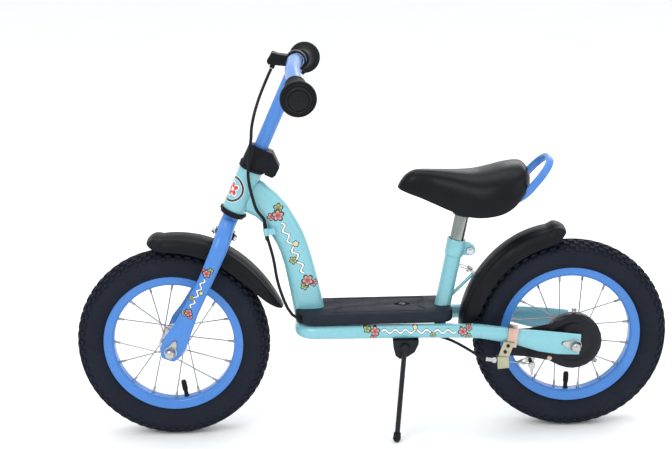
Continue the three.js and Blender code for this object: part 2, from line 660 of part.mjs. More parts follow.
/** The wide curved down tube, grown or shrunk by a distance. */
function downTubeSolid(grow, sides = 14) {
  const stations = downTubePath.map(([x, z, half]) => (
    { at: point(x, 0, z), a: DOWN_TUBE.halfWidth + grow, b: half + grow }));
  return bar(stations, ACROSS, { sides, squareness: 0.75 });
}

const railPath = (() => {
  const { radius, z, frontX, cornerRadius, halfTrack } = RAIL;
  const centre = [frontX + cornerRadius, -(halfTrack - cornerRadius)];
  const corner = [0, 22.5, 45, 67.5, 90].map((degrees) => {
    const x = centre[0] - cornerRadius * Math.cos(rad(degrees));
    const y = centre[1] - cornerRadius * Math.sin(rad(degrees));
    return { at: point(x, y, z), a: radius, b: radius };
  });
  const straight = [
    [-30, 36.5, z, radius, radius], [50, 39.5, z + 0.5, radius, radius], [120, 45, z + 1.5, radius, radius],
    [165, 50, 172.2, radius, 10.4],
    [200, 53, 167, 12, 8], [222, 55, 163.3, 12.8, 6.5], [256, 57, 156.6, 17, 4],
    [284, STAY_END.y, 152.8, 18, 3.2],
    [STAY_END.x, STAY_END.y, 150, 16.6, 3],
  ].map(([x, y, height, a, b]) => ({ at: point(x, -y, height), a, b }));
  const start = { at: point(frontX, -GAP / 2, z), a: radius, b: radius };
  return [start, ...corner, ...straight];
})();

function sideRail() {
  const outer = bar(railPath, UP, { sides: 14, squareness: 0.95 });
  const hollowPath = railPath.slice(0, 10).map((station, i) => (
    i === 0 ? { ...station, at: station.at.clone().add(point(0, 5, 0)) } : station));
  const inner = bar(hollowPath, UP, { sides: 6, trim: WALL + 0.6 });
  const { axleX, axleZ } = WHEEL;
  const axleSlot = join(
    crossRod(axleX, axleZ, -80, -40, AXLE.hole, 10),
    box([axleX, -80, axleZ - AXLE.hole], [axleX + 20, -40, axleZ + AXLE.hole]),
  );
  const [holeX, holeZ] = REAR_WASHER_HOLE;
  const washerHole = crossRod(axleX + holeX, axleZ + holeZ, -80, -40, WASHER_HOLE_RADIUS, 12);
  return cut(outer, inner, axleSlot, washerHole);
}

function frame() {
  const leaning = rad(STEER.lean);
  const along = point(Math.sin(leaning), 0, Math.cos(leaning));
  const headTop = point(STEER.x, 0, STEER.z);
  const below = headTop.clone().addScaledVector(along, -120);
  const above = headTop.clone().addScaledVector(along, 30);
  const headSpace = rod(below, above, HEAD.radius + GAP + 0.3, 20);
  const crossSpace = crossRod(RAIL.frontX, RAIL.z, -30, 30, RAIL.radius + GAP + 0.4, 14);
  const hollow = downTubeSolid(-WALL, 8);
  const lowEnd = box([-140, -40, 150], [-50, 40, RAIL.z - 4]);
  const guide = cableGuide();
  const outer = join(downTubeSolid(0), guide.solid);
  piece('down_tube', cut(outer, hollow, headSpace, crossSpace, lowEnd, guide.bore), 'turquoise');

  const rail = sideRail();
  piece('side_rail_left', rail, 'turquoise');
  piece('side_rail_right', mirrored(rail), 'turquoise');

  const bridgeEnd = 43.6 - RAIL.radius - GAP - 0.2;
  const bridge = crossRod(0, 0, -bridgeEnd, bridgeEnd, 9, 12);
  const tube = rod(point(0, 0, 2), point(0, 0, SEAT.top), SEAT.tube, 20);
  const bore = rod(point(0, 0, 11), point(0, 0, SEAT.top + 10), SEAT.tubeBore + 0.1, 20);
  const strut = rod(point(10, 0, 43), point(36.3, 0, 83.2), 2.8, 8);
  piece('seat_tube', cut(join(tube, strut, bridge), bore), 'turquoise', seat);
}

function seatClamp() {
  const bolt = { r: 23, s: 120 };
  const top = SEAT.top + 0.4;
  const collar = turnedUp([[0, 108], [14.8, 108], [14.8, top - 1.4], [14, top], [0, top]], 20);
  const ear = join(
    plate([[8, 110], [8, 131], [20, 130.5], [26, 128], [bolt.r, 111]], -4.6, 4.6),
    crossRod(bolt.r, bolt.s, -4.6, 4.6, 8.6, 14),
  );
  const tubeSpace = rod(point(0, 0, 90), point(0, 0, 150), SEAT.tube + 0.35, 20);
  const slit = box([0, -1, 90], [50, 1, 150]);
  const hole = crossRod(bolt.r, bolt.s, -30, 30, 3.2, 8);
  piece('seat_clamp', cut(join(collar, ear), tubeSpace, slit, hole), 'turquoise', seat);
  const screw = join(
    crossRod(bolt.r, bolt.s, -11, 12, 2.9, 12),
    crossRod(bolt.r, bolt.s, -9.4, -5, 6, 6),
    crossRod(bolt.r, bolt.s, 5, 9.4, 6, 6),
  );
  piece('seat_clamp_bolt', screw, 'chrome', seat);
}

function footboard() {
  const { front, rear, halfWidth, top, bottom, skin } = DECK;
  const { bevel, skirt } = DECK_CORNER;
  const outline = (inset) => {
    const shape = new THREE.Shape();
    const x0 = front + inset;
    const x1 = rear - inset;
    const w = halfWidth - inset;
    const c = DECK_CORNER.front - inset / 2;
    const q = DECK_CORNER.rear - inset / 2;
    shape.moveTo(x0 + c, -w);
    shape.lineTo(x1 - q, -w);
    shape.absarc(x1 - q, -w + q, q, -Math.PI / 2, 0, false);
    shape.absarc(x1 - q, w - q, q, 0, Math.PI / 2, false);
    shape.absarc(x0 + c, w - c, c, Math.PI / 2, Math.PI, false);
    shape.absarc(x0 + c, -w + c, c, Math.PI, 1.5 * Math.PI, false);
    return shape;
  };
  const body = new THREE.ExtrudeGeometry(outline(bevel), {
    depth: top - bottom - 2 * bevel,
    bevelThickness: bevel,
    bevelSize: bevel,
    bevelSegments: 2,
    curveSegments: 5,
  }).translate(0, 0, bottom + bevel);
  const hollow = { depth: top - skin - bottom + 5, bevelEnabled: false, curveSegments: 4 };
  const under = new THREE.ExtrudeGeometry(outline(skirt), hollow).translate(0, 0, bottom - 5);
  const cableSlot = box([front - 8, -36.5, bottom - 5], [front + 22, -26.5, top - 3.4]);
  const seatAt = (z) => point(SEAT.x + (z - SEAT.z) * Math.tan(rad(SEAT.lean)), 0, z);
  const seatSpace = join(
    rod(seatAt(170), seatAt(220), SEAT.tube + 0.9, 16),
    box([seatAt(194).x, -SEAT.tube + 1, 170], [rear + 20, SEAT.tube - 1, 220]),
  );
  const tubeSpace = downTubeSolid(0.7);
  const screwX = 48.6;
  const recess = rod(point(screwX, 0, top - 2.2), point(screwX, 0, top + 5), 7.5, 16);
  const recessOval = closed(recess.translate(-screwX, 0, 0).scale(1.7, 1, 1).translate(screwX, 0, 0));
  const screwHole = rod(point(screwX, 0, 180), point(screwX, 0, 210), 3.2, 12);
  const screw = join(
    rod(point(screwX, 0, 184), point(screwX, 0, top - 1.4), 2.9, 12),
    rod(point(screwX, 0, top - 1.9), point(screwX, 0, top + 0.6), 5.6, 14),
    rod(point(screwX, 0, 188), point(screwX, 0, 193), 5.2, 6),
  );
  piece('footboard', cut(body, under, seatSpace, tubeSpace, recessOval, screwHole, cableSlot), 'plastic');
  piece('footboard_screw', screw, 'blackSteel');
}

function kickstand() {
  const { x, y, z, footX, footY, footRadius, rod: radius } = STAND;
  const face = y + radius + 1;
  const top = point(x, y, z);
  const under = RAIL.z + 0.2 - RAIL.radius - GAP;
  const outline = [[31.7, under], [71.6, under], [71, 153], [65, 141], [54, 133.5], [42, 130.3],
    [35.5, 136],
    [32.4, 149]];
  const pinHole = crossRod(x, z, -80, -30, 3.3, 14);
  piece('kickstand_bracket', cut(plate(outline, face, -35), pinHole), 'blackSteel');
  const foot = point(footX, footY, footRadius);
  const toFoot = foot.clone().sub(top).normalize();
  const boss = crossRod(x, z, y - 4.5, face - GAP, 6.4, 12);
  const pin = crossRod(x, z, y, -38, 3, 12);
  const leg = rod(top, foot.clone().addScaledVector(toFoot, -9), radius, 12);
  piece('kickstand_leg', join(leg, boss, pin), 'blackSteel');
  const start = foot.clone().addScaledVector(toFoot, -9 + GAP);
  const cap = join(
    rod(start, foot, radius + 1.6, 10, footRadius - 0.6),
    new THREE.SphereGeometry(footRadius, 10, 6).translate(foot.x, foot.y, foot.z),
  );
  const level = box([footX - 20, footY - 20, -20], [footX + 20, footY + 20, 0.25]);
  const lowered = cut(cap, level).translate(0, 0, -0.25);
  piece('kickstand_foot', lowered, 'rubber');
}

// ---------------------------------------------------------------------------------------------
// Band brake
// ---------------------------------------------------------------------------------------------
const wireDirection = point(Math.cos(rad(WIRE.fall)), 0, -Math.sin(rad(WIRE.fall)));

function onWire(distance, y = WIRE.y) {
  return point(WIRE.x, y, WIRE.z).addScaledVector(wireDirection, distance);
}

function bandBrake() {
  const { axleX, axleZ } = WHEEL;
  const { radius, wall, face, mouth } = COVER;
  const cupProfile = [[10.5, face - 2.4], [20, face - 2.4], [23, face], [30, face], [32, face - 1.4],
    [39, face - 1.4], [radius, face + 3], [radius, mouth], [radius - wall, mouth],
    [radius - wall, face + wall + 2], [36, face + wall], [10.5, face + wall]];
  const cup = turned(cupProfile, 24).translate(axleX, 0, axleZ);
  const tailOutline = [[300, 106.7], [288, 110.6], [271, 119.6], [240, 126.4], [206, 129.6], [206, 171],
    [240, 172.6], [275, 179.6], [285, 187]];
  const tail = plate(tailOutline, -43.2, -41.6);
  const drumSpace = crossRod(axleX, axleZ, face + wall + 0.2, 0, radius - wall, 24);
  const rivet = crossRod(272.3, 123.9, -45.2, -41.8, 3.4, 12);
  const coverScrews = [88, -44].map((degrees) => {
    const outward = point(Math.cos(rad(degrees)), 0, Math.sin(rad(degrees)));
    const at = (distance) => point(axleX, -37, axleZ).addScaledVector(outward, distance);
    const shank = rod(at(radius - 1), at(radius + 5), 2.2, 8);
    return join(shank, rod(at(radius + 4), at(radius + 7), 3.4, 8));
  });
  piece('brake_cover', join(cut(tail, drumSpace), cup, rivet, ...coverScrews), 'blackSteel');

  const strapLean = rad(8);
  const rectangle = (halfY, halfZ) => [[-halfY, -halfZ], [halfY, -halfZ], [halfY, halfZ], [-halfY, halfZ]]
    .map(([y, z]) => new THREE.Vector2(y, z));
  const hole = new THREE.Path(rectangle(8.5, 13.9));
  const strapShape = new THREE.Shape(rectangle(9.7, 15.1));
  strapShape.holes.push(hole);
  const strap = new THREE.ExtrudeGeometry(strapShape, { depth: 15, bevelEnabled: false });
  strap.translate(0, 0, -7.5).rotateX(Math.PI / 2).rotateZ(Math.PI / 2);
  strap.rotateY(strapLean).translate(213, -53.6, 164.8);
  piece('brake_strap', closed(strap), 'copper');

  const faceY = -53.6 - 9.7 - GAP;
  const lug = plate([[199.5, 160], [215.5, 157], [207, 134], [191, 136]], faceY - 1.6, faceY);
  const stopOutline = [[189.5, 136], [206.5, 135], [207.5, 118], [190.5, 116.5]];
  const stop = plate(stopOutline, -67, -55);
  const rivetPlaces = [[205.8, 153], [201.5, 143.5]];
  const rivets = rivetPlaces.map(([x, z]) => crossRod(x, z, faceY - 3, faceY - 1, 2.4, 10));
  const wireBore = rod(onWire(-20), onWire(60), 1.5, 6);
  piece('brake_bracket', cut(join(lug, stop, ...rivets), wireBore), 'brass');
  const barrel = join(rod(onWire(0.9), onWire(17), 3.4, 10), rod(onWire(11), onWire(16.2), 5.2, 10));
  piece('barrel_adjuster', cut(barrel, wireBore), 'chrome');

  const anchor = 71;
  const eye = onWire(anchor);
  const armPlate = plate([[236, 116], [249, 115.5], [252, 128], [236, 128.5]], -40.2, -38.2);
  const post = crossRod(eye.x, eye.z, -63.4, -39, 3, 12);
  piece('brake_arm', join(armPlate, post), 'zinc');
  const nutHub = crossRod(eye.x, eye.z, -68.4, -63.7, 5.6, 14);
  const wingOutline = [[-3.4, 0], [3.4, 0], [1.4, -16],
    [-1.4, -16]].map(([x, z]) => [eye.x + x, eye.z + z]);
  const wing = plate(wingOutline, -66.6, -64.6);
  piece('anchor_nut', join(nutHub, wing), 'zinc');
  piece('brake_wire', rod(onWire(8), onWire(anchor - 3.4), WIRE.radius, 8), 'zinc');
  const coil = [[1.5, 0], [2.9, 0], [2.9, 15], [1.5, 15]];
  piece('anchor_spring', turnedAlong(coil, onWire(anchor - 22), onWire(anchor), 12), 'zinc');
}

// ---------------------------------------------------------------------------------------------
// Brake cable
// ---------------------------------------------------------------------------------------------
/** A point given from the steering axis, in the bike's own frame. */
function fromSteering(r, y, s) {
  return steeringToWheel(r, y, s).add(point(-WHEEL.axleX, 0, WHEEL.axleZ));
}

const guideAt = point(-157, -19.5, 328.5);
const guideDirection = point(0.13, 0.0, -0.99).normalize();

/** The sleeve welded to the front of the down tube, and its bore. */
function cableGuide() {
  const from = guideAt.clone().addScaledVector(guideDirection, -5.6);
  const to = guideAt.clone().addScaledVector(guideDirection, 5.6);
  const sleeve = rod(from, to, 4.2, 12);
  const { x, y, z } = guideAt;
  const foot = box([x - 1, y - 1.5, z - 4.5], [x + 14, y + 13, z + 4.5]);
  const before = guideAt.clone().addScaledVector(guideDirection, -20);
  const after = guideAt.clone().addScaledVector(guideDirection, 20);
  const bore = rod(before, after, 1.6, 10);
  return { solid: join(sleeve, foot), bore };
}

function cable() {
  const upper = [[-30.6, 71.3, 142.3], [-30.9, 67.5, 128], [-31, 53, 111], [-30.5, 30, 96], [-28.4, 5, 79],
    [-24.5, -12, 62], [-19.5, -24, 50]].map((p) => fromSteering(...p));
  const middle = [[-18.9, -25, 48.6], [-14.5, -28, 34], [-8, -28.5, 14], [-1.5, -27.5, -4], [8, -26.5, -20],
    [19, -25, -35], [31, -23, -49]].map((p) => fromSteering(...p));
  const onGuide = (distance) => guideAt.clone().addScaledVector(guideDirection, distance);
  middle.push(onGuide(-20), onGuide(-13), onGuide(-6.4));
  const lower = [[-151.5, -21, 305], [-147, -22, 285], [-142, -24, 251], [-134, -27.5, 224],
    [-127, -30.5, 208],
    [-121, -32, 199.5], [-113, -32, 193], [-102, -30.5, 189], [-88, -27.5, 187], [-70, -23, 184],
    [-45, -18, 172],
    [-15, -15, 163], [20, -14, 160], [70, -18, 160], [100, -29, 158.6], [122, -41, 155], [149, -51, 142],
    [164, -58.5, 134]].map((p) => point(...p));
  lower.unshift(onGuide(6.4));
  lower.push(onWire(0));
  piece('cable_upper', cord(upper, CASING_RADIUS, 18), 'rubber');
  piece('cable_middle', cord(middle, CASING_RADIUS, 20), 'rubber');
  piece('cable_lower', cord(lower, CASING_RADIUS, 38), 'rubber');
}

// ---------------------------------------------------------------------------------------------
// Seat post, saddle and grab handle
// ---------------------------------------------------------------------------------------------
/** Rows of [x, top, bottom, half width, depth of the hollow underneath]. */
const saddleStations = [
  [45, 392, 388.6, 5, 0], [48.5, 398.5, 386.8, 10.5, 0], [56, 407.6, 384, 15.5, 2],
  [66, 413.8, 380.4, 18.8, 5],
  [78, 415.9, 376, 21, 9], [98, 415.3, 367.5, 26, 14], [122, 414.1, 358.4, 36.5, 18],
  [142, 413.2, 353.2, 48, 18],
  [162, 413.8, 352.2, 58, 18], [182, 417.4, 354.6, 62.5, 18], [200, 421.8, 359.4, 62.5, 16],
  [215, 424.4, 368, 59, 12], [226.5, 425, 379.6, 52.5, 6], [235, 421.2, 389.2, 41, 0],
  [241, 411, 397.6, 25, 0],
];

function saddleRing([x, top, bottom, half, depth]) {
  const steps = 8;
  const dome = Array.from({ length: steps + 1 }, (_, k) => {
    const t = (Math.PI / 2) * ((2 * k) / steps - 1);
    const y = half * Math.sign(t) * Math.abs(Math.sin(t)) ** 0.8;
    return point(x, y, bottom + (top - bottom) * Math.max(Math.cos(t), 0) ** 0.7);
  });
  const lip = Math.min(5, half * 0.3);
  const under = [
    point(x, half - lip, bottom + 0.01),
    point(x, half - lip - 1, bottom + depth + 0.02),
    point(x, -half + lip + 1, bottom + depth + 0.02),
    point(x, -half + lip, bottom + 0.01),
  ];
  return [...dome, ...under];
}

function handleDirection(degrees) {
  return point(Math.cos(rad(degrees)), 0, Math.sin(rad(degrees)));
}

/** Grab handle: two arms that rise from under the saddle and meet in a round end. */
function handleStations(grow) {
  const { half, turn, reach, bandHalf, edgeHalf } = HANDLE;
  const rise = handleDirection(HANDLE.rise);
  const root = point(HANDLE.root[0], 0, HANDLE.root[1]);
  const place = (along, y) => root.clone().addScaledVector(rise, along).add(point(0, y, 0));
  const arc = [0, 18, 36, 54, 72, 90].map((degrees) => (
    place(reach - turn + turn * Math.sin(rad(degrees)), -(half - turn + turn * Math.cos(rad(degrees))))));
  const left = [point(203, -36, 367), point(219, -39, 374), place(0, -half), ...arc];
  const right = left.slice(0, -1).reverse().map((p) => point(p.x, -p.y, p.z));
  return [...left, ...right].map((at) => ({ at, a: bandHalf + grow, b: edgeHalf + grow }));
}

function grabHandle(grow = 0) {
  return bar(handleStations(grow), handleDirection(HANDLE.rise + 90), { sides: 10, squareness: 0.8 });
}

function saddle() {
  const { bottom, top, bore } = SEAT_POST;
  const post = turnedUp([[bore, bottom], [SEAT.post, bottom], [SEAT.post, top], [bore, top]], 18);
  piece('seat_post', post, 'chrome', seat);

  const clamp = SADDLE_CLAMP;
  const postSpace = rod(point(0, 0, 100), point(0, 0, top + GAP), SEAT.post + GAP + 0.2, 16);
  const clampBody = rod(point(0, 0, clamp.from), point(0, 0, clamp.to), clamp.radius, 16);
  const bolt = join(
    crossRod(0, clamp.bolt, -24, 24, 3, 12),
    crossRod(0, clamp.bolt, -23.5, -19.3, 6, 6),
    crossRod(0, clamp.bolt, 19.3, 23.5, 6, 6),
  );
  piece('saddle_clamp', join(cut(clampBody, postSpace), bolt), 'blackSteel', seat);

  const cover = cut(loft(saddleStations.map(saddleRing)), grabHandle(0.5));
  piece('saddle_cover', cover, 'vinyl');

  const baseRows = saddleStations.slice(4, 13);
  const thickness = 2.6;
  const basePlate = loft(baseRows.map(([x, , low, half, depth]) => {
    const w = half - 8;
    const z = low + depth - GAP;
    return [point(x, w, z), point(x, -w, z), point(x, -w, z - thickness), point(x, w, z - thickness)];
  }));
  const { x, z } = SADDLE_PIVOT;
  const lugOutline = [[x - 12, z + 16], [x - 8, z - 5.5], [x + 8, z - 5.5], [x + 13, z + 13]];
  const lugs = [plate(lugOutline, -19, -15.6), plate(lugOutline, 15.6, 19)];
  const lugHole = crossRod(x, z, -30, 30, 3.3, 12);
  const sleeves = [-1, 1].map((side) => box([200, side * 36 - 7, 359.6], [212, side * 36 + 7, 374.8]));
  const base = cut(join(basePlate, ...lugs, ...sleeves), lugHole, grabHandle(GAP));
  piece('saddle_base', base, 'plastic');
  piece('grab_handle', grabHandle(), 'blue');
}

// ---------------------------------------------------------------------------------------------
// Assembly
// ---------------------------------------------------------------------------------------------
wheels();
axles();
mudguards();
headset();
fork();
stem();
handlebar();
brakeLever();
frame();
seatClamp();
footboard();
kickstand();
bandBrake();
cable();
saddle();

export default bike;
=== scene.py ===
"""Looks of the balance bike: detailed pieces, materials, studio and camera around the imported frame.

Lengths are millimetres and are scaled to metres when a mesh is built. Lights, and the distances inside
materials, are in metres. The bike faces -x, with +y to its right and the ground at z = 0.
"""

import math

import bmesh
import bpy
from mathutils import Matrix, Vector


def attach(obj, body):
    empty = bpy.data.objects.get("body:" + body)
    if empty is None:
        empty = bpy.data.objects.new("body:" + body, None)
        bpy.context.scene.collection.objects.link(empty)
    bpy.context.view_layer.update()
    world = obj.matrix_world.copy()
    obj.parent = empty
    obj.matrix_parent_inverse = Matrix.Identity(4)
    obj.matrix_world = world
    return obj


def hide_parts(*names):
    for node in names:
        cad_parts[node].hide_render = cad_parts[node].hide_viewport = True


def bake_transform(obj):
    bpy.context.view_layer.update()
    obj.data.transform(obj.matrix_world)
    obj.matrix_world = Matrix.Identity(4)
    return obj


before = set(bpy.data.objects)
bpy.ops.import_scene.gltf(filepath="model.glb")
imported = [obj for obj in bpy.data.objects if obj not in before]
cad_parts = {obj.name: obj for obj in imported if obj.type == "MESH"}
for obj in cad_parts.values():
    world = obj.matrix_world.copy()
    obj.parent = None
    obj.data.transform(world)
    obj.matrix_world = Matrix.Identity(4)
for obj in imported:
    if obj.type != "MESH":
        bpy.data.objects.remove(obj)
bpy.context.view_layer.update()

MM = 0.001
SCENE = bpy.context.scene

# Main sizes of the bike
FRONT_AXLE = Vector((-308, 0, 150))
REAR_AXLE = Vector((308, 0, 150))
STEER_TOP = Vector((-177, 0, 421.6))
STEER_LEAN = math.radians(25)  # rearward from upright
STEER_UP = Vector((math.sin(STEER_LEAN), 0, math.cos(STEER_LEAN)))
STEER_BACK = Vector((math.cos(STEER_LEAN), 0, -math.sin(STEER_LEAN)))
RIGHT = Vector((0, 1, 0))


def side_way(angle):
    """A unit vector in the bike's side plane, turned upward from rearward."""
    return Vector((math.cos(angle), 0, math.sin(angle)))


def steering(r, y, s):
    """A point measured from the steering axis: r rearward, s up along the axis."""
    return STEER_TOP + STEER_BACK * r + RIGHT * y + STEER_UP * s


# ---------------------------------------------------------------------------
# Camera, studio and light
# ---------------------------------------------------------------------------
def make_camera():
    azimuth, elevation, roll = 0.005, 0.264, -0.025
    distance, focal_px, width_px, sensor = 2078.5, 1359.5, 672, 36.0
    target = Vector((-50.8, 0, 332.2))
    back = Vector(
        (
            math.sin(azimuth) * math.cos(elevation),
            -math.cos(azimuth) * math.cos(elevation),
            math.sin(elevation),
        )
    )
    across = Vector((math.cos(azimuth), math.sin(azimuth), 0))
    upward = back.cross(across)
    across, upward = (
        across * math.cos(roll) + upward * math.sin(roll),
        upward * math.cos(roll) - across * math.sin(roll),
    )
    data = bpy.data.cameras.new("camera")
    data.sensor_width = sensor
    data.lens = focal_px / width_px * sensor
    data.clip_end = 200
    camera = bpy.data.objects.new("camera", data)
    SCENE.collection.objects.link(camera)
    turn = Matrix((across, upward, back)).transposed().to_4x4()
    camera.matrix_world = Matrix.Translation((target + back * distance) * MM) @ turn
    SCENE.camera = camera


def area_light(name, place, aim, size, power):
    data = bpy.data.lights.new(name, "AREA")
    data.shape = "RECTANGLE"
    data.size, data.size_y = size
    data.energy = power
    light = bpy.data.objects.new(name, data)
    SCENE.collection.objects.link(light)
    light.location = place
    light.rotation_euler = (Vector(aim) - Vector(place)).to_track_quat("-Z", "Y").to_euler()


def make_studio():
    world = bpy.data.worlds.new("studio")
    world.use_nodes = True
    background = world.node_tree.nodes["Background"]
    background.inputs["Color"].default_value = (0.97, 0.985, 1.0, 1)
    background.inputs["Strength"].default_value = 1.02
    SCENE.world = world
    SCENE.view_settings.view_transform = "Standard"
    middle = (-0.02, 0, 0.25)
    area_light("key", (-1.6, -2.2, 2.6), middle, (1.6, 1.6), 34)
    area_light("top", (0.2, 0.3, 3.0), middle, (2.4, 1.4), 26)
    area_light("fill", (2.2, -1.6, 1.4), middle, (1.4, 1.8), 9)
    area_light("rim", (1.2, 2.6, 1.8), middle, (2.2, 1.2), 18)


# ---------------------------------------------------------------------------
# Materials
# ---------------------------------------------------------------------------
class Net:
    """A shader node tree that is being wired up."""

    def __init__(self, tree):
        self.tree = tree

    def add(self, kind, inputs=None, **settings):
        node = self.tree.nodes.new(kind)
        for key, value in settings.items():
            setattr(node, key, value)
        for key, value in (inputs or {}).items():
            self.feed(node.inputs[key], value)
        return node

    def feed(self, socket, value):
        if isinstance(value, bpy.types.NodeSocket):
            self.tree.links.new(value, socket)
        else:
            socket.default_value = value

    def math(self, operation, a, b=0.0):
        return self.add("ShaderNodeMath", {0: a, 1: b}, operation=operation).outputs[0]

    def hypot(self, a, b):
        return self.math("SQRT", self.math("ADD", self.math("MULTIPLY", a, a), self.math("MULTIPLY", b, b)))

    def within(self, value, low, high):
        """One between two limits and zero outside them."""
        above = self.math("GREATER_THAN", value, low)
        return self.math("MULTIPLY", above, self.math("LESS_THAN", value, high))

    def petals(self, angle):
        """Five lobes around a turn, each from zero to one."""
        return self.math("ABSOLUTE", self.math("SINE", self.math("MULTIPLY", angle, 2.5)))

    def vector(self, operation, a, b=(0, 0, 0), out="Vector"):
        return self.add("ShaderNodeVectorMath", {0: a, 1: b}, operation=operation).outputs[out]

    def split(self, vector):
        node = self.add("ShaderNodeSeparateXYZ", {0: vector})
        return node.outputs[0], node.outputs[1], node.outputs[2]

    def mix(self, factor, a, b, blend="MIX"):
        node = self.add("ShaderNodeMix", data_type="RGBA", blend_type=blend)
        self.feed(node.inputs["Factor"], factor)
        self.feed(node.inputs[6], a)
        self.feed(node.inputs[7], b)
        return node.outputs[2]

    def between(self, value, low, high, out_low, out_high):
        keys = {"Value": value, "From Min": low, "From Max": high, "To Min": out_low, "To Max": out_high}
        return self.add("ShaderNodeMapRange", keys).outputs[0]

    def noise(self, place, scale, detail=3.0):
        keys = {"Vector": place, "Scale": scale, "Detail": detail, "Roughness": 0.55}
        return self.add("ShaderNodeTexNoise", keys).outputs["Fac"]

    def cells(self, place, scale):
        return self.add("ShaderNodeTexVoronoi", {"Vector": place, "Scale": scale}).outputs["Distance"]

    def bump(self, height, strength, distance):
        keys = {"Height": height, "Strength": strength, "Distance": distance}
        return self.add("ShaderNodeBump", keys).outputs[0]


class Look(Net):
    """One procedural material around a Principled shader. Constants sit on the shader's own sockets."""

    def __init__(self, name, color, roughness, **constants):
        self.material = bpy.data.materials.new(name)
        self.material.use_nodes = True
        super().__init__(self.material.node_tree)
        self.shader = self.tree.nodes["Principled BSDF"]
        for key, value in constants.items():
            self.shader.inputs[key.replace("_", " ")].default_value = value
        self.place = self.add("ShaderNodeTexCoord").outputs["Object"]
        self.color = (*color, 1)
        self.roughness = roughness

    def finish(self, color, roughness, normal=None):
        self.feed(self.shader.inputs["Base Color"], color)
        self.feed(self.shader.inputs["Roughness"], roughness)
        if normal is not None:
            self.feed(self.shader.inputs["Normal"], normal)
        return self.material

    def shaded(self, color, amount=0.06, scale=14.0):
        """The colour with a faint cloudiness."""
        cloud = self.between(self.noise(self.place, scale), 0.3, 0.7, 1 - amount, 1 + amount)
        return self.mix(1.0, color, cloud, "MULTIPLY")

    def worn(self, spread=0.08, scale=60.0):
        """The roughness, higher where the finish is smudged."""
        smudge = self.noise(self.place, scale, 5.0)
        low, high = max(self.roughness - spread, 0.02), self.roughness + spread
        return self.between(smudge, 0.3, 0.75, low, high)


def paint(name, color, decorate=None, coat=0.55, specular=0.5):
    look = Look(name, color, 0.3, Coat_Weight=coat, Coat_Roughness=0.08, Specular_IOR_Level=specular)
    shade = look.shaded(look.color, 0.035)
    fleck = look.between(look.noise(look.place, 900, 1.0), 0.62, 0.72, 0.0, 0.06)
    shade = look.mix(fleck, shade, (1, 1, 1, 1))
    if decorate:
        shade = decorate(look, shade)
    peel = look.noise(look.place, 160, 2.0)
    return look.finish(shade, look.worn(0.05), look.bump(peel, 0.05, 0.0006))


def plating(name, color, roughness, tint=None, brushed=0.0):
    look = Look(name, color, roughness, Metallic=1.0)
    shade = look.shaded(look.color, 0.08, 40.0)
    if tint:
        patch = look.between(look.noise(look.place, 55, 2.0), 0.4, 0.65, 0.0, 1.0)
        shade = look.mix(patch, shade, (*tint, 1))
    stretched = look.vector("MULTIPLY", look.place, (900, 900, 90))
    grain = look.noise(stretched, 1.0, 2.0)
    return look.finish(shade, look.worn(0.06, 90), look.bump(grain, brushed, 0.0003))


def moulded(name, color, roughness, grain=1100.0, depth=0.25, coat=0.0, specular=0.15):
    look = Look(name, color, roughness, Coat_Weight=coat, Coat_Roughness=0.2, Specular_IOR_Level=specular)
    shade = look.shaded(look.color, 0.12, 25.0)
    dust = look.between(look.noise(look.place, 320, 4.0), 0.6, 0.8, 0.0, 0.012)
    shade = look.mix(dust, shade, (0.6, 0.6, 0.6, 1))
    pebbles = look.noise(look.place, grain, 2.0)
    return look.finish(shade, look.worn(0.07), look.bump(pebbles, depth, 0.0004))


LINE_RADII, LINE_PITCH = (0.1105, 0.1165), 0.0028  # fine rings on the sidewall, just outside the rim
RIB_RADII, RIB_COUNT = (0.1335, 0.1375), 216  # the band of short ribs beside the tread


def tyre_rubber(name, centre):
    """Matt rubber with moulded rings and ribs, measured from the wheel's centre."""
    look = Look(name, (0.006, 0.0085, 0.0175), 0.66, Specular_IOR_Level=0.18)
    x, _, z = look.split(look.vector("SUBTRACT", look.place, tuple(centre * MM)))
    radius = look.hypot(x, z)
    ring = look.math("SINE", look.math("MULTIPLY", radius, 2 * math.pi / LINE_PITCH))
    lines = look.math("MULTIPLY", look.math("GREATER_THAN", ring, 0.35), look.within(radius, *LINE_RADII))
    serrated = look.math("SINE", look.math("MULTIPLY", look.math("ARCTAN2", z, x), RIB_COUNT))
    ribs = look.math("MULTIPLY", look.math("GREATER_THAN", serrated, 0.0), look.within(radius, *RIB_RADII))
    skin = look.noise(look.place, 700, 4.0)
    relief = look.math("ADD", lines, ribs)
    height = look.math("ADD", relief, look.math("MULTIPLY", skin, 0.5))
    shade = look.shaded(look.color, 0.18, 30.0)
    dust = look.between(look.noise(look.place, 190, 5.0), 0.55, 0.8, 0.0, 0.02)
    shade = look.mix(dust, shade, (0.34, 0.33, 0.31, 1))
    return look.finish(shade, look.worn(0.08), look.bump(height, 0.35, 0.0006))


def vinyl(name, color):
    """Grained upholstery vinyl with a faint wrinkle."""
    look = Look(name, color, 0.3, Specular_IOR_Level=0.11)
    grain = look.cells(look.place, 620)
    wrinkle = look.noise(look.place, 210, 4.0)
    height = look.math("ADD", look.math("MULTIPLY", grain, 0.8), look.math("MULTIPLY", wrinkle, 0.5))
    shade = look.shaded(look.color, 0.14, 18.0)
    return look.finish(shade, look.worn(0.06, 45), look.bump(height, 0.22, 0.0005))


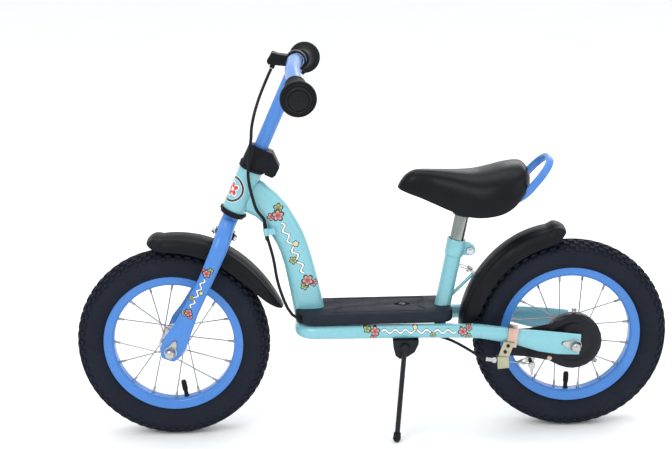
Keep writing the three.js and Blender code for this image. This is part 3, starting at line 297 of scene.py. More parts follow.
def flower_group():
    """A generic five-petalled flower, drawn flat on the bike's side."""
    tree = bpy.data.node_groups.new("flower", "ShaderNodeTree")
    for name, kind in (
        ("Base", "NodeSocketColor"),
        ("Place", "NodeSocketVector"),
        ("Centre", "NodeSocketVector"),
        ("Radius", "NodeSocketFloat"),
        ("Turn", "NodeSocketFloat"),
        ("Petal", "NodeSocketColor"),
        ("Heart", "NodeSocketColor"),
    ):
        tree.interface.new_socket(name, in_out="INPUT", socket_type=kind)
    tree.interface.new_socket("Color", in_out="OUTPUT", socket_type="NodeSocketColor")
    net = Net(tree)
    given = net.add("NodeGroupInput").outputs
    x, _, z = net.split(net.vector("SUBTRACT", given["Place"], given["Centre"]))
    share = net.math("DIVIDE", net.hypot(x, z), given["Radius"])
    lobe = net.petals(net.math("ADD", net.math("ARCTAN2", z, x), given["Turn"]))
    edge = net.math("ADD", net.math("MULTIPLY", net.math("POWER", lobe, 0.6), 0.45), 0.55)
    outline = net.math("LESS_THAN", share, edge)
    petal = net.math("LESS_THAN", share, net.math("SUBTRACT", edge, 0.26))
    heart = net.math("LESS_THAN", share, 0.22)
    blush = net.between(share, 0.2, 0.9, 0.0, 1.0)
    inner = net.mix(blush, given["Heart"], given["Petal"])
    shade = net.mix(outline, given["Base"], (0.02, 0.012, 0.012, 1))
    shade = net.mix(petal, shade, inner)
    shade = net.mix(heart, shade, given["Heart"])
    out = net.add("NodeGroupOutput")
    net.feed(out.inputs["Color"], shade)
    return tree


def flower(look, shade, x, z, radius, turn, petal, heart):
    node = look.add("ShaderNodeGroup", node_tree=FLOWER)
    values = {
        "Base": shade,
        "Place": look.place,
        "Centre": (x * MM, 0, z * MM),
        "Radius": radius * MM,
        "Turn": turn,
        "Petal": (*petal, 1),
        "Heart": (*heart, 1),
    }
    for key, value in values.items():
        look.feed(node.inputs[key], value)
    return node.outputs[0]


def garland(look, shade, start, end, width, swing, waves):
    """A white wavy ribbon with a dark edge, between two points (x, z) of the bike's side."""
    line = Vector((end[0] - start[0], 0, end[1] - start[1])) * MM
    along = line.normalized()
    across = Vector((-along.z, 0, along.x))
    away = look.vector("SUBTRACT", look.place, (start[0] * MM, 0, start[1] * MM))
    t = look.math("DIVIDE", look.vector("DOT_PRODUCT", away, tuple(along), "Value"), line.length)
    n = look.vector("DOT_PRODUCT", away, tuple(across), "Value")
    wave = look.math("SINE", look.math("MULTIPLY", t, 2 * math.pi * waves))
    offset = look.math("ABSOLUTE", look.math("SUBTRACT", n, look.math("MULTIPLY", wave, swing * MM)))
    inside = look.within(t, 0.0, 1.0)
    dark = look.math("MULTIPLY", look.math("LESS_THAN", offset, width * MM), inside)
    white = look.math("MULTIPLY", look.math("LESS_THAN", offset, 0.55 * width * MM), inside)
    shade = look.mix(dark, shade, (0.03, 0.02, 0.02, 1))
    return look.mix(white, shade, (0.9, 0.9, 0.88, 1))


PINK, RED = (0.74, 0.46, 0.40), (0.34, 0.03, 0.03)
YELLOW, GREEN = (0.62, 0.56, 0.22), (0.09, 0.19, 0.04)
CREAM = (0.74, 0.68, 0.60)


def spray(look, shade, start, end, size):
    """Flowers at both ends of a wavy ribbon, with small blossoms beside it. start and end are (x, z)."""
    a, b = Vector((start[0], 0, start[1])), Vector((end[0], 0, end[1]))
    along = (b - a).normalized()
    across = Vector((-along.z, 0, along.x))
    from_point, to_point = a + along * size * 0.8, b - along * size * 0.8
    waves = round((b - a).length / (size * 1.4))
    ribbon = ((from_point.x, from_point.z), (to_point.x, to_point.z))
    shade = garland(look, shade, *ribbon, size * 0.16, size * 0.2, waves)
    for share, side, scale, petal, heart in (
        (0.46, 0.42, 0.34, CREAM, YELLOW),
        (0.66, -0.45, 0.42, YELLOW, GREEN),
        (-0.09, 0.3, 0.5, YELLOW, GREEN),
        (1.06, -0.5, 0.42, YELLOW, GREEN),
        (1.07, 0.42, 0.4, PINK, RED),
        (-0.02, -0.62, 0.42, PINK, RED),
    ):
        spot = a + (b - a) * share + across * side * size
        shade = flower(look, shade, spot.x, spot.z, size * scale, share * 9, petal, heart)
    for spot, turn in ((a, 0.3), (b, 1.1)):
        shade = flower(look, shade, spot.x, spot.z, size * 0.62, turn, PINK, RED)
    return shade


def down_tube_decor(look, shade):
    return spray(look, shade, (-138.5, 352), (-96.5, 248), 16.5)


def outside(look, plain, decorated, half_width, spread):
    """The decoration on outer faces only: past a half width that is given at x = 0 and grows rearward."""
    x, y, _ = look.split(look.place)
    limit = look.math("MULTIPLY_ADD", x, spread)
    limit.node.inputs[2].default_value = half_width * MM
    outer = look.math("GREATER_THAN", look.math("ABSOLUTE", y), limit)
    return look.mix(outer, plain, decorated)


def fork_decor(look, shade):
    flowers = spray(look, shade, (-247, 274), (-277.5, 213), 11.5)
    return outside(look, shade, flowers, half_width=45.5, spread=0.0)


def rail_decor(look, shade):
    flowers = spray(look, shade, (5, 174.5), (138, 174.5), 13)
    return outside(look, shade, flowers, half_width=37.5, spread=0.069)


BADGE_TURN, BADGE_DROP = math.radians(38), 36  # its place around the head tube, and below STEER_TOP
BADGE_WRAP = 18.5  # radius of the head tube
WHITE, BADGE_BLACK, BADGE_RED = (0.9, 0.9, 0.9, 1), (0.01, 0.01, 0.012, 1), (0.55, 0.02, 0.02, 1)


def badge_decor(look, shade):
    """A plain ring with a flower in it, wrapped on the front left of the head tube."""
    rel = look.vector("SUBTRACT", look.place, tuple(STEER_TOP * MM))
    r = look.vector("DOT_PRODUCT", rel, tuple(-STEER_BACK), "Value")
    s = look.vector("DOT_PRODUCT", rel, tuple(STEER_UP), "Value")
    y = look.vector("DOT_PRODUCT", rel, (0, -1, 0), "Value")
    angle = look.math("SUBTRACT", look.math("ARCTAN2", y, r), BADGE_TURN)
    u = look.math("MULTIPLY", angle, BADGE_WRAP * MM)
    v = look.math("ADD", s, BADGE_DROP * MM)
    away = look.hypot(u, v)
    for radius, color in ((20.6, WHITE), (20.0, BADGE_BLACK), (16.4, WHITE), (15.8, look.color)):
        shade = look.mix(look.math("LESS_THAN", away, radius * MM), shade, color)
    lobe = look.petals(look.math("ARCTAN2", v, u))
    edge = look.math("MULTIPLY", look.math("ADD", look.math("MULTIPLY", lobe, 0.5), 0.5), 12.5 * MM)
    inner = look.math("SUBTRACT", edge, 1.6 * MM)
    for limit, color in ((edge, WHITE), (inner, BADGE_RED), (3 * MM, WHITE)):
        shade = look.mix(look.math("LESS_THAN", away, limit), shade, color)
    return shade


FLOWER = flower_group()
TURQUOISE = (0.19, 0.475, 0.54)
BLUE = (0.056, 0.206, 0.57)
BLACK = (0.007, 0.0075, 0.0095)

LOOKS = {
    "turquoise": paint("turquoise_paint", TURQUOISE),
    "down_tube": paint("turquoise_down_tube", TURQUOISE, down_tube_decor),
    "rails": paint("turquoise_rails", TURQUOISE, rail_decor),
    "head_tube": paint("turquoise_head_tube", TURQUOISE, badge_decor),
    "blue": paint("blue_paint", BLUE, coat=0.2, specular=0.3),
    "fork": paint("blue_fork", BLUE, fork_decor, coat=0.2, specular=0.3),
    "chrome": plating("chrome", (0.56, 0.56, 0.57), 0.14),
    # The seat post's chrome has a much darker base colour than the other chrome: a painted reflection,
    # standing in for the dark surroundings the post reflects.
    "post_chrome_painted_dark_reflection": plating("post_chrome_painted_dark_reflection", (0.27, 0.29, 0.28), 0.16),
    "zinc": plating("zinc", (0.44, 0.45, 0.46), 0.3, tint=(0.50, 0.48, 0.44), brushed=0.1),
    "spoke_steel": plating("spoke_steel", (0.30, 0.31, 0.33), 0.34, brushed=0.05),
    "brass": plating("brass", (0.38, 0.40, 0.26), 0.34, tint=(0.44, 0.41, 0.29), brushed=0.1),
    "copper": plating("copper", (0.56, 0.36, 0.29), 0.36, tint=(0.62, 0.46, 0.40), brushed=0.1),
    "rubber": moulded("soft_rubber", (0.0075, 0.008, 0.0095), 0.5, grain=800.0, depth=0.3),
    "plastic": moulded("black_plastic", BLACK, 0.4, specular=0.11),
    "deck": moulded("deck_plastic", (0.015, 0.019, 0.028), 0.6, grain=700.0, depth=0.4, specular=0.13),
    "black_steel": moulded("black_steel", (0.008, 0.009, 0.013), 0.34, grain=500.0, depth=0.12, coat=0.1),
    "blue_plastic": moulded("blue_plastic", (0.06, 0.20, 0.56), 0.3, grain=900.0, depth=0.06, specular=0.4),
    "vinyl": vinyl("black_vinyl", (0.0065, 0.0075, 0.010)),
    "front_rubber": tyre_rubber("front_tyre_rubber", FRONT_AXLE),
    "rear_rubber": tyre_rubber("rear_tyre_rubber", REAR_AXLE),
}


# ---------------------------------------------------------------------------
# Mesh building
# ---------------------------------------------------------------------------
def tangent_at(points, i):
    """The direction of a line of points at one of them."""
    return (points[min(i + 1, len(points) - 1)] - points[max(i - 1, 0)]).normalized()


class Solid:
    """Vertices and faces of one piece, in millimetres."""

    def __init__(self):
        self.verts = []
        self.faces = []

    def add(self, verts, faces):
        first = len(self.verts)
        self.verts += [Vector(v) for v in verts]
        self.faces += [[first + i for i in face] for face in faces]

    def rings(self, rings, ends="cap"):
        """Joins closed rings of points. ends is cap, or ring where the last ring joins the first."""
        count = len(rings[0])
        verts = [v for ring in rings for v in ring]
        spans = len(rings) if ends == "ring" else len(rings) - 1
        faces = []
        for i in range(spans):
            low, high = i * count, ((i + 1) % len(rings)) * count
            for k in range(count):
                nxt = (k + 1) % count
                faces.append([low + k, low + nxt, high + nxt, high + k])
        if ends == "cap":
            faces.append(list(range(count))[::-1])
            faces.append([(len(rings) - 1) * count + k for k in range(count)])
        self.add(verts, faces)

    def lathe(self, profile, at, axis, segments, ends="cap"):
        """Turns [radius, distance along axis] about an axis through at."""
        axis = Vector(axis).normalized()
        side = axis.orthogonal().normalized()
        other = axis.cross(side)
        rings = []
        for radius, along in profile:
            ring = []
            for k in range(segments):
                angle = 2 * math.pi * k / segments
                spoke = side * math.cos(angle) + other * math.sin(angle)
                ring.append(Vector(at) + axis * along + spoke * radius)
            rings.append(ring)
        self.rings(rings, ends=ends)

    def tube(self, points, radius, sides):
        """A round tube along a smooth line of points."""
        rings = []
        normal = None
        for i, at in enumerate(points):
            tangent = tangent_at(points, i)
            if normal is None:
                normal = tangent.orthogonal().normalized()
            normal = (normal - tangent * normal.dot(tangent)).normalized()
            other = tangent.cross(normal)
            ring = []
            for k in range(sides):
                angle = 2 * math.pi * k / sides
                ring.append(at + (normal * math.cos(angle) + other * math.sin(angle)) * radius)
            rings.append(ring)
        self.rings(rings)

    def object(self, name, look, body=None, slot=None, instead_of=(), angle=38):
        """Builds the piece, and states its body and the CAD nodes that it replaces. slot is not used."""
        mesh = bpy.data.meshes.new(name)
        mesh.from_pydata([v * MM for v in self.verts], [], self.faces)
        work = bmesh.new()
        work.from_mesh(mesh)
        bmesh.ops.recalc_face_normals(work, faces=work.faces)
        work.to_mesh(mesh)
        work.free()
        mesh.shade_smooth()
        mesh.set_sharp_from_angle(angle=math.radians(angle))
        mesh.materials.append(LOOKS[look])
        obj = bpy.data.objects.new(name, mesh)
        SCENE.collection.objects.link(obj)
        if body:
            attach(obj, body)
        if instead_of:
            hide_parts(*instead_of)
        return obj


def smooth_line(points, per_span):
    """A Catmull-Rom line through rows of numbers, which keeps the end rows."""
    rows = [list(p) for p in points]
    rows = [rows[0]] + rows + [rows[-1]]
    out = []
    for i in range(1, len(rows) - 2):
        before, a, b, after = rows[i - 1 : i + 3]
        for step in range(per_span):
            t = step / per_span
            out.append(
                [
                    0.5 * (2 * q + (r - p) * t)
                    + 0.5 * ((2 * p - 5 * q + 4 * r - s) * t**2 + (3 * q - p - 3 * r + s) * t**3)
                    for p, q, r, s in zip(before, a, b, after)
                ]
            )
    out.append(rows[-2])
    return out


def half_turn(steps):
    """Angles from a quarter turn below zero to a quarter turn above it."""
    return [(math.pi / 2) * (2 * k / steps - 1) for k in range(steps + 1)]


def squared(value, power):
    """A sine or cosine with its curve made fuller, as in a rounded rectangle. It keeps its sign."""
    return math.copysign(abs(value) ** power, value)


# ---------------------------------------------------------------------------
# Wheels
# ---------------------------------------------------------------------------
TYRE_SIDE = [  # radius and half width of the carcass, from the rim to the crown
    (104, 12.4), (108.4, 13.2), (109.6, 15.2), (112, 18), (116, 20.8), (121, 22.6), (127, 23.3), (132, 23.1),
    (136, 22.2), (139.8, 20.4), (142.7, 17.4), (144.8, 13.4), (146, 8.6), (146.5, 4),
]
TYRE_INSIDE = [(144, -8), (137, -18), (122, -18.6), (104, -9.6)]
KNOBS = [  # place across the tyre, tilt in degrees, size across, size around, height, steps shifted around
    (3.7, 4, 6.2, 11.4, 3.4, 0), (10.9, 14, 5.8, 9.8, 2.8, 0.5), (16.9, 34, 5.0, 10.4, 3.2, 0),
    (20.9, 58, 4.0, 8.4, 2.6, 0.5),
]
KNOB_STEPS = 60
KNOB_LEVELS = (  # offset from the carcass, share of the height, share of the size
    (-0.7, 0, 1.0), (0, 0.8, 0.86), (0, 1, 0.72),
)
RIM_SIDE = [  # radius and half width: up the outer face, over the flange and back down the well
    (93.5, 2), (93.5, 6.4), (94.3, 9), (96.2, 11), (98.8, 12.1), (103, 13), (106.2, 14.3), (107.9, 14.7),
    (108.7, 14.2), (108.5, 13.4), (106.4, 12.4), (102.5, 11.2), (99.4, 10), (97.8, 7.6), (97.3, 3),
]
SPOKE_COUNT, SPOKE_LEAD = 16, math.radians(62)  # the lead is the turn from a spoke's rim end to its hub end
SPOKE_CIRCLE, FLANGE_Y = 18, 18.5
SPOKE_END, SPOKE_END_Y = 93.2, 2.5
VALVE_SEAT = 93.6


def both_sides(side):
    """A closed profile from the rows of one side."""
    return list(side) + [(r, -y) for r, y in reversed(side)]


def carcass_radius(half):
    """The carcass's radius at a distance from the wheel's middle plane."""
    side = TYRE_SIDE[::-1]
    for (r0, y0), (r1, y1) in zip(side, side[1:]):
        if y0 <= half <= y1:
            return r0 + (r1 - r0) * (half - y0) / (y1 - y0)
    return side[0][0]


def knob(solid, centre, angle, half, tilt, across, around, height):
    """One tread block, tapered toward its top and leaning outward with the tyre's shoulder."""
    radial, travel = side_way(angle), Vector((-math.sin(angle), 0, math.cos(angle)))
    side = math.copysign(1, half)
    lean = math.radians(tilt) * side
    outward = radial * math.cos(lean) + RIGHT * math.sin(lean)
    along = RIGHT * math.cos(lean) - radial * math.sin(lean)
    base = centre + radial * carcass_radius(abs(half)) + RIGHT * half
    corners = []
    for drop, share, grow in KNOB_LEVELS:
        for a, b in ((-1, -1), (1, -1), (1, 1), (-1, 1)):
            offset = along * a * across / 2 * grow + travel * b * around / 2 * grow
            corners.append(base + outward * (drop + height * share) + offset)
    faces = [[0, 1, 2, 3], [8, 9, 10, 11]]
    for low in (0, 4):
        for k in range(4):
            nxt = (k + 1) % 4
            faces.append([low + k, low + nxt, low + 4 + nxt, low + 4 + k])
    solid.add(corners, faces)


def make_tyre(name, centre, body):
    tyre = Solid()
    smooth = [tuple(row) for row in smooth_line(TYRE_SIDE, 3)]
    outer = both_sides([*smooth, (146.6, 0.6)])
    tyre.lathe(outer + TYRE_INSIDE, centre, RIGHT, 160, ends="ring")
    step = 2 * math.pi / KNOB_STEPS
    for half, tilt, across, around, height, shift in KNOBS:
        for side in (-1, 1):
            for i in range(KNOB_STEPS):
                angle = (i + shift) * step
                knob(tyre, centre, angle, half * side, tilt, across, around, height)
    tyre.object(name + "_tread_tyre", name + "_rubber", body, "tyre", [name + "_tyre"], angle=30)


def make_rim(name, centre, body):
    rim = Solid()
    smooth = [tuple(row) for row in smooth_line(RIM_SIDE, 2)]
    rim.lathe(both_sides(smooth), centre, RIGHT, 144, ends="ring")
    rim.object(name + "_wheel_rim", "blue", body, "blue", [name + "_rim"], angle=50)


def make_hub(name, centre, body, left_end, right_end, phase):
    hub = Solid()
    flange = [(11, 22), (12, 20.6), (20.6, 19.8), (22, 19), (22, 18), (20.6, 17.3), (13, 16), (11.2, 13.5)]
    shell = [(5.4, left_end), (9.4, left_end), (10.6, left_end + 1)]
    shell += [(r, -y) for r, y in flange] + [(10.4, 0)] + flange[::-1]
    shell += [(10.6, right_end - 1), (9.4, right_end), (5.4, right_end)]
    hub.lathe(shell, centre, RIGHT, 40, ends="ring")
    hub.object(name + "_hub_shell", "zinc", body, "zinc", [name + "_hub"], angle=40)

    spokes, nipples = Solid(), Solid()
    for i in range(SPOKE_COUNT):
        side = -1 if i % 2 == 0 else 1
        turn = 1 if i % 4 < 2 else -1
        rim_angle = 2 * math.pi * i / SPOKE_COUNT + phase
        hub_angle = rim_angle + turn * SPOKE_LEAD
        inner = centre + side_way(hub_angle) * SPOKE_CIRCLE
        outer = centre + side_way(rim_angle) * SPOKE_END
        inner.y, outer.y = side * FLANGE_Y, side * SPOKE_END_Y
        toward = (outer - inner).normalized()
        spokes.tube([inner - toward * 1.5, inner, outer - toward * 4], 1.0, 8)
        head = inner + RIGHT * side * 1.6
        spokes.lathe([(0.9, -3.4), (1.2, -0.4), (2.1, 0), (1.7, 0.9), (0.5, 1.3)], head, RIGHT * side, 10)
        profile = [(1.1, -9), (1.5, -8.8), (1.9, -8), (1.9, -2.4), (2.5, -1.2), (2.6, 0.4), (1.2, 1.0)]
        nipples.lathe(profile, outer, toward, 10)
    spokes.object(name + "_spokes", "spoke_steel", body, "zinc")
    nipples.object(name + "_spoke_nipples", "spoke_steel", body, "zinc")


def make_valve(name, centre, body, degrees):
    valve = Solid()
    outward = side_way(math.radians(degrees))
    profile = [
        (1, -1.5), (4.2, -1.4), (4.3, 0.6), (3.5, 1.6), (3.3, 9.5), (3.6, 10.4), (4.3, 10.8), (4.3, 13),
        (4.0, 13.4), (4.3, 13.8), (4.3, 16.4), (4.0, 16.8), (4.3, 17.2), (4.2, 23.6), (3.7, 26), (2.6, 27),
        (0.8, 27.2),
    ]
    valve.lathe(profile, centre + outward * VALVE_SEAT, -outward, 24)
    valve.object(name + "_valve_stem", "rubber", body, "rubber", [name + "_valve"], angle=40)


# ---------------------------------------------------------------------------
# Mudguards
# ---------------------------------------------------------------------------
FRONT_GUARD = [  # angle in degrees, crown radius, half width, radius of the side edges
    (17.5, 181, 11, 177), (20, 180.5, 20, 171), (25, 179, 27, 163), (32, 177.5, 30.5, 157),
    (43, 176.5, 31.5, 152), (56, 176.5, 31.5, 151), (69, 176.8, 31.5, 151), (81, 175.6, 31, 151.5),
    (89, 174.4, 30.8, 152), (92.6, 173.6, 30.2, 153), (94.4, 174.8, 31, 154), (96.6, 175.6, 30.5, 156.5),
    (99.2, 173, 27, 160.5), (100.9, 169.5, 20, 165),
]
REAR_GUARD = [  # the same columns
    (174.5, 173, 16, 168), (171.5, 173.5, 26, 158), (164, 174.5, 31, 149), (152, 175.5, 32, 148),
    (140, 176, 32, 149), (127, 177.5, 32, 150), (115, 178.5, 31.5, 151), (106, 178.2, 31.3, 152),
    (102.5, 177.8, 31, 152.5), (100.6, 179.2, 31.3, 153.5), (98.4, 181, 31, 155), (95.8, 178, 28, 160),
    (93.4, 172.5, 21, 166),
]
GUARD_WALL = 2.4
CREASE_HEIGHT, CREASE_FADE = 0.9, 24  # the creases fade where the crown is less than this above the edges
CROWN_TAB = ((16.5, -128), (14.6, -122), (14.4, -101))  # rearward and up, from the steering axis


def bell(share, middle, width):
    return math.exp(-(((share - middle) / width) ** 2))


def guard_row(centre, angle, crown, half, edge, inset):
    """Half an oval across the wheel, with a ridge and a groove on each side. inset is for the inner face."""
    way = side_way(math.radians(angle))
    row = []
    for t in half_turn(28):
        across = squared(math.sin(t), 0.85)
        crease = bell(abs(across), 0.74, 0.09) - 0.8 * bell(abs(across), 0.58, 0.1)
        radius = edge + (crown - inset - edge) * max(math.cos(t), 0) ** 0.75
        radius += CREASE_HEIGHT * crease * min(1, (crown - edge) / CREASE_FADE)
        row.append(centre + way * radius + RIGHT * (half - inset) * across)
    return row


def crown_tab():
    """The strap from the front mudguard up to the crown bolt, as one ring of corners per station."""
    corners = ((-1, -8), (-1, 8), (1, 8), (1, -8))
    return [[steering(r + back, y, s) for back, y in corners] for r, s in CROWN_TAB]


def make_guard(name, stations, centre, body, node, tab=None):
    guard = Solid()
    rings = []
    for row in smooth_line(stations, 5):
        rings.append(guard_row(centre, *row, 0) + guard_row(centre, *row, GUARD_WALL)[::-1])
    guard.rings(rings)
    if tab:
        guard.rings(tab)
    guard.object(name, "plastic", body, "plastic", [node], angle=50)


# ---------------------------------------------------------------------------
# Handlebar grips and cables
# ---------------------------------------------------------------------------
BAR_R, BAR_S = -3.7, 169.7  # the bar's middle, measured from the steering axis
BEND_START, BEND_LENGTH, SWEEP_START, SWEEP = 15, 73, 48, 0.118
GRIP_LENGTH, GRIP_END = 74, 205  # the end is measured from the bike's middle plane
GRIP_COLLAR = [(11.7, 0), (13.8, 0), (14.9, 0.6), (15.6, 2), (15.6, 4.8), (15, 6), (14.2, 8)]
GRIP_RIB = [(14.2, 0), (14.2, 2.6), (13.5, 3.1), (13.5, 3.9)]
RIB_START, RIB_PITCH, GRIP_RIBS = 9.0, 4.4, 9
GRIP_GUARD = [  # radius and distance from the grip's end, over the round guard and the domed tip
    (14.2, -23), (16.1, -16), (19, -12.4), (22.6, -10.6), (24.6, -9.4), (25.4, -8), (25.4, -5.4),
    (24.9, -4.4), (23.6, -3.8), (22.9, -3.9), (22.5, -4.6), (21.9, -4.6), (21.4, -3.2), (20.6, -2.2),
    (19.4, -1.9), (18.9, -2.4), (18.4, -2.2), (18.1, -0.4), (17.4, 1.2), (16.2, 2.1), (15.2, 2.0),
    (14.8, 1.4), (14.2, 1.4), (13.6, 2.6), (11, 3.4), (6, 4.0), (0.6, 4.2), (0.6, -1), (11.7, -1),
]


def bar_centre(y):
    """The middle of the bar, which sweeps a little rearward and down toward the grips."""
    t = min(max((abs(y) - BEND_START) / BEND_LENGTH, 0), 1)
    bend = t * t * (3 - 2 * t)
    sweep = max(bend * (abs(y) - SWEEP_START) * SWEEP, 0)
    return steering(BAR_R + sweep, y, BAR_S - sweep * 0.5)


def make_grip(name, side):
    grip = Solid()
    start, end = bar_centre(side * (GRIP_END - GRIP_LENGTH)), bar_centre(side * GRIP_END)
    profile = list(GRIP_COLLAR)
    for i in range(GRIP_RIBS):
        profile += [(radius, RIB_START + RIB_PITCH * i + along) for radius, along in GRIP_RIB]
    profile += [(radius, GRIP_LENGTH + past) for radius, past in GRIP_GUARD]
    grip.lathe(profile, start, end - start, 56, ends="ring")
    grip.object("handlebar_grip_" + name, "rubber", "handlebar", "rubber", ["grip_" + name], angle=30)


UPPER_CABLE = [  # r, y and s from the steering axis
    (-30.6, 71.3, 142.3), (-30.9, 67.5, 128), (-31, 53, 111), (-30.5, 30, 96), (-28.4, 5, 79),
    (-24.5, -12, 62), (-19.5, -24, 50),
]
MIDDLE_CABLE = [
    (-18.9, -25, 48.6), (-14.5, -28, 34), (-8, -28.5, 14), (-1.5, -27.5, -4), (8, -26.5, -20),
    (19, -25, -35), (31, -23, -49),
]
GUIDE = Vector((-157, -19.5, 328.5))
GUIDE_DOWN = Vector((0.13, 0, -0.99)).normalized()
CASING = 2.4  # radius
FERRULE = [(2.5, 0), (3.1, 0.1), (3.1, 6.5), (2.7, 7.4), (2.5, 7.4)]


def make_cables():
    upper = [steering(*p) for p in UPPER_CABLE]
    middle = [steering(*p) for p in MIDDLE_CABLE] + [GUIDE + GUIDE_DOWN * d for d in (-20, -13, -6.4)]
    middle[0] = upper[-1]
    for name, points, bodies in (
        ("cable_upper", upper, ("handlebar", "fork")),
        ("cable_middle", middle, ("fork", "frame")),
    ):
        line = [Vector(p) for p in smooth_line(points, 6)]
        tube = Solid()
        tube.tube(line, CASING, 14)
        piece = tube.object(name + "_casing", "rubber", None, "rubber", [name])
        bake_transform(piece)
    ferrule = Solid()
    for at, way in ((GUIDE + GUIDE_DOWN * -6, -GUIDE_DOWN), (GUIDE + GUIDE_DOWN * 6, GUIDE_DOWN)):
        ferrule.lathe(FERRULE, at, way, 18, ends="ring")
    ferrule.object("cable_ferrules", "rubber", "frame", "rubber")


# ---------------------------------------------------------------------------
# Saddle
# ---------------------------------------------------------------------------
SADDLE = [  # x, top, bottom, half width, depth of the hollow underneath
    (44.2, 390.8, 389.4, 2.6, 0), (45, 392, 388.6, 5, 0), (48.5, 398.5, 386.8, 10.5, 0),
    (56, 407.6, 384, 15.5, 2), (66, 413.8, 380.4, 18.8, 5), (78, 415.9, 376, 21, 9),
    (98, 415.3, 367.5, 26, 14), (122, 414.1, 358.4, 36.5, 18), (142, 413.2, 353.2, 48, 18),
    (162, 413.8, 352.2, 58, 18), (182, 417.4, 354.6, 62.5, 18), (200, 421.8, 359.4, 62.5, 16),
    (215, 424.4, 368, 59, 12), (226.5, 425, 379.6, 52.5, 6),
    (232, 423.6, 385.6, 47, 2), (236.5, 420.2, 390.4, 39.5, 0), (239.8, 415.8, 394.2, 31.5, 0),
    (241.8, 411.2, 397.6, 22.5, 0), (242.8, 407, 400.9, 12.5, 0), (243.1, 404.8, 402.6, 5, 0),
]


def saddle_row(x, top, bottom, half, depth):
    """One cross-section: crowned top, full sides, and a rolled lower edge."""
    row = []
    for t in half_turn(36):
        z = bottom + (top - bottom) * max(math.cos(t), 0) ** 0.7
        row.append(Vector((x, half * squared(math.sin(t), 0.8), z)))
    lip = min(5.0, half * 0.3)
    edge = [(half - 0.8, -0.5), (half - 2.2, -0.7), (half - lip, -0.2), (half - lip * 1.2, depth)]
    row += [Vector((x, y, bottom + rise)) for y, rise in edge]
    row += [Vector((x, -y, bottom + rise)) for y, rise in reversed(edge)]
    return row


def make_saddle():
    skin = Solid()
    skin.rings([saddle_row(*row) for row in smooth_line(SADDLE, 4)])
    cover = skin.object("saddle_skin", "vinyl", "saddle", "vinyl", ["saddle_cover"], angle=60)


HANDLE_ROOT = Vector((235, 0, 385.5))
HANDLE_LEAN = math.radians(48.5)
HANDLE_RISE = side_way(HANDLE_LEAN)
HANDLE_HALF, HANDLE_TURN, HANDLE_REACH = 42, 36, 57.5  # half width, radius of its corners, length
HANDLE_BAND, HANDLE_EDGE = 6, 3.6  # half width and half thickness of the band


def make_handle():
    """The moulded loop behind the saddle, a flat band with rounded edges."""
    arc = []
    for degrees in range(0, 91, 6):
        a = math.radians(degrees)
        along = HANDLE_REACH - HANDLE_TURN + HANDLE_TURN * math.sin(a)
        y = -(HANDLE_HALF - HANDLE_TURN + HANDLE_TURN * math.cos(a))
        arc.append(HANDLE_ROOT + HANDLE_RISE * along + RIGHT * y)
    foot = [(203, -36, 367), (219, -39, 374), (235, -HANDLE_HALF, 385.5), arc[0]]
    left = [Vector(p) for p in smooth_line(foot, 4)[:-1]] + arc
    path = left + [Vector((p.x, -p.y, p.z)) for p in reversed(left[:-1])]
    flat = Vector((-HANDLE_RISE.z, 0, HANDLE_RISE.x))
    rings = []
    for i, at in enumerate(path):
        tangent = tangent_at(path, i)
        across = flat.cross(tangent).normalized()
        wide = tangent.cross(across).normalized()
        ring = []
        for k in range(24):
            t = 2 * math.pi * (k + 0.5) / 24
            offset = wide * HANDLE_BAND * squared(math.cos(t), 0.55)
            ring.append(at + offset + across * HANDLE_EDGE * squared(math.sin(t), 0.7))
        rings.append(ring)
    loop = Solid()
    loop.rings(rings)
    loop.object("grab_handle_loop", "blue_plastic", "saddle", "blue", ["grab_handle"], angle=50)


# ---------------------------------------------------------------------------
# Footboard and brake details
# ---------------------------------------------------------------------------
DECK_TOP = 202
PANEL = [  # outline of the raised line on the footboard, seen from above
    (-58, -34), (84, -34), (84, -21), (73, -9), (73, 9), (84, 21),
    (84, 34), (-58, 34), (-58, 21), (-47, 9), (-47, -9), (-58, -21),
]
PANEL_LINE, PANEL_RISE, PANEL_ROOT = 1.6, 0.6, -0.4


def make_deck_line():
    """The raised line around the footboard's panel, with mitred corners."""
    rings = []
    for i, corner in enumerate(PANEL):
        at = Vector(corner)
        before = (at - Vector(PANEL[i - 1])).normalized()
        after = (Vector(PANEL[(i + 1) % len(PANEL)]) - at).normalized()
        n0, n1 = Vector((-before.y, before.x)), Vector((-after.y, after.x))
        mitre = (n0 + n1).normalized()
        mitre /= mitre.dot(n0)
        section = (
            (0, PANEL_ROOT), (0.25, PANEL_RISE), (PANEL_LINE - 0.25, PANEL_RISE), (PANEL_LINE, PANEL_ROOT)
        )
        rings.append([Vector((*(at + mitre * inward), DECK_TOP + rise)) for inward, rise in section])
    line = Solid()
    line.rings(rings, ends="ring")
    line.object("footboard_panel_line", "deck", "frame", "plastic", angle=30)


WIRE_START = Vector((172, -61, 131.3))
WIRE_WAY = side_way(math.radians(-8.5))
RIVET = [(0.5, 3.4), (3.9, 3.4), (4.1, 0.6), (3.4, -0.2), (1.8, -0.7), (0.4, -0.8)]
RIVET_PLACE = (272.3, -45.2, 123.9)
SCREW = [  # radius and distance from the rear axle's middle line
    (0.5, 44.3), (2.5, 44.3), (2.5, 46.6), (4, 46.8), (4, 47.6), (3.6, 47.7), (3.6, 50.6), (3.1, 51.2),
    (0.5, 51.3),
]
SCREW_DEGREES, SCREW_Y = (88, -44), -37
STUD = [(0.4, 1.6), (2.7, 1.6), (2.8, -0.1), (2.2, -0.5), (0.4, -0.7)]
STUD_PLACES = ((205.8, -66.6, 153), (201.5, -66.6, 143.5))


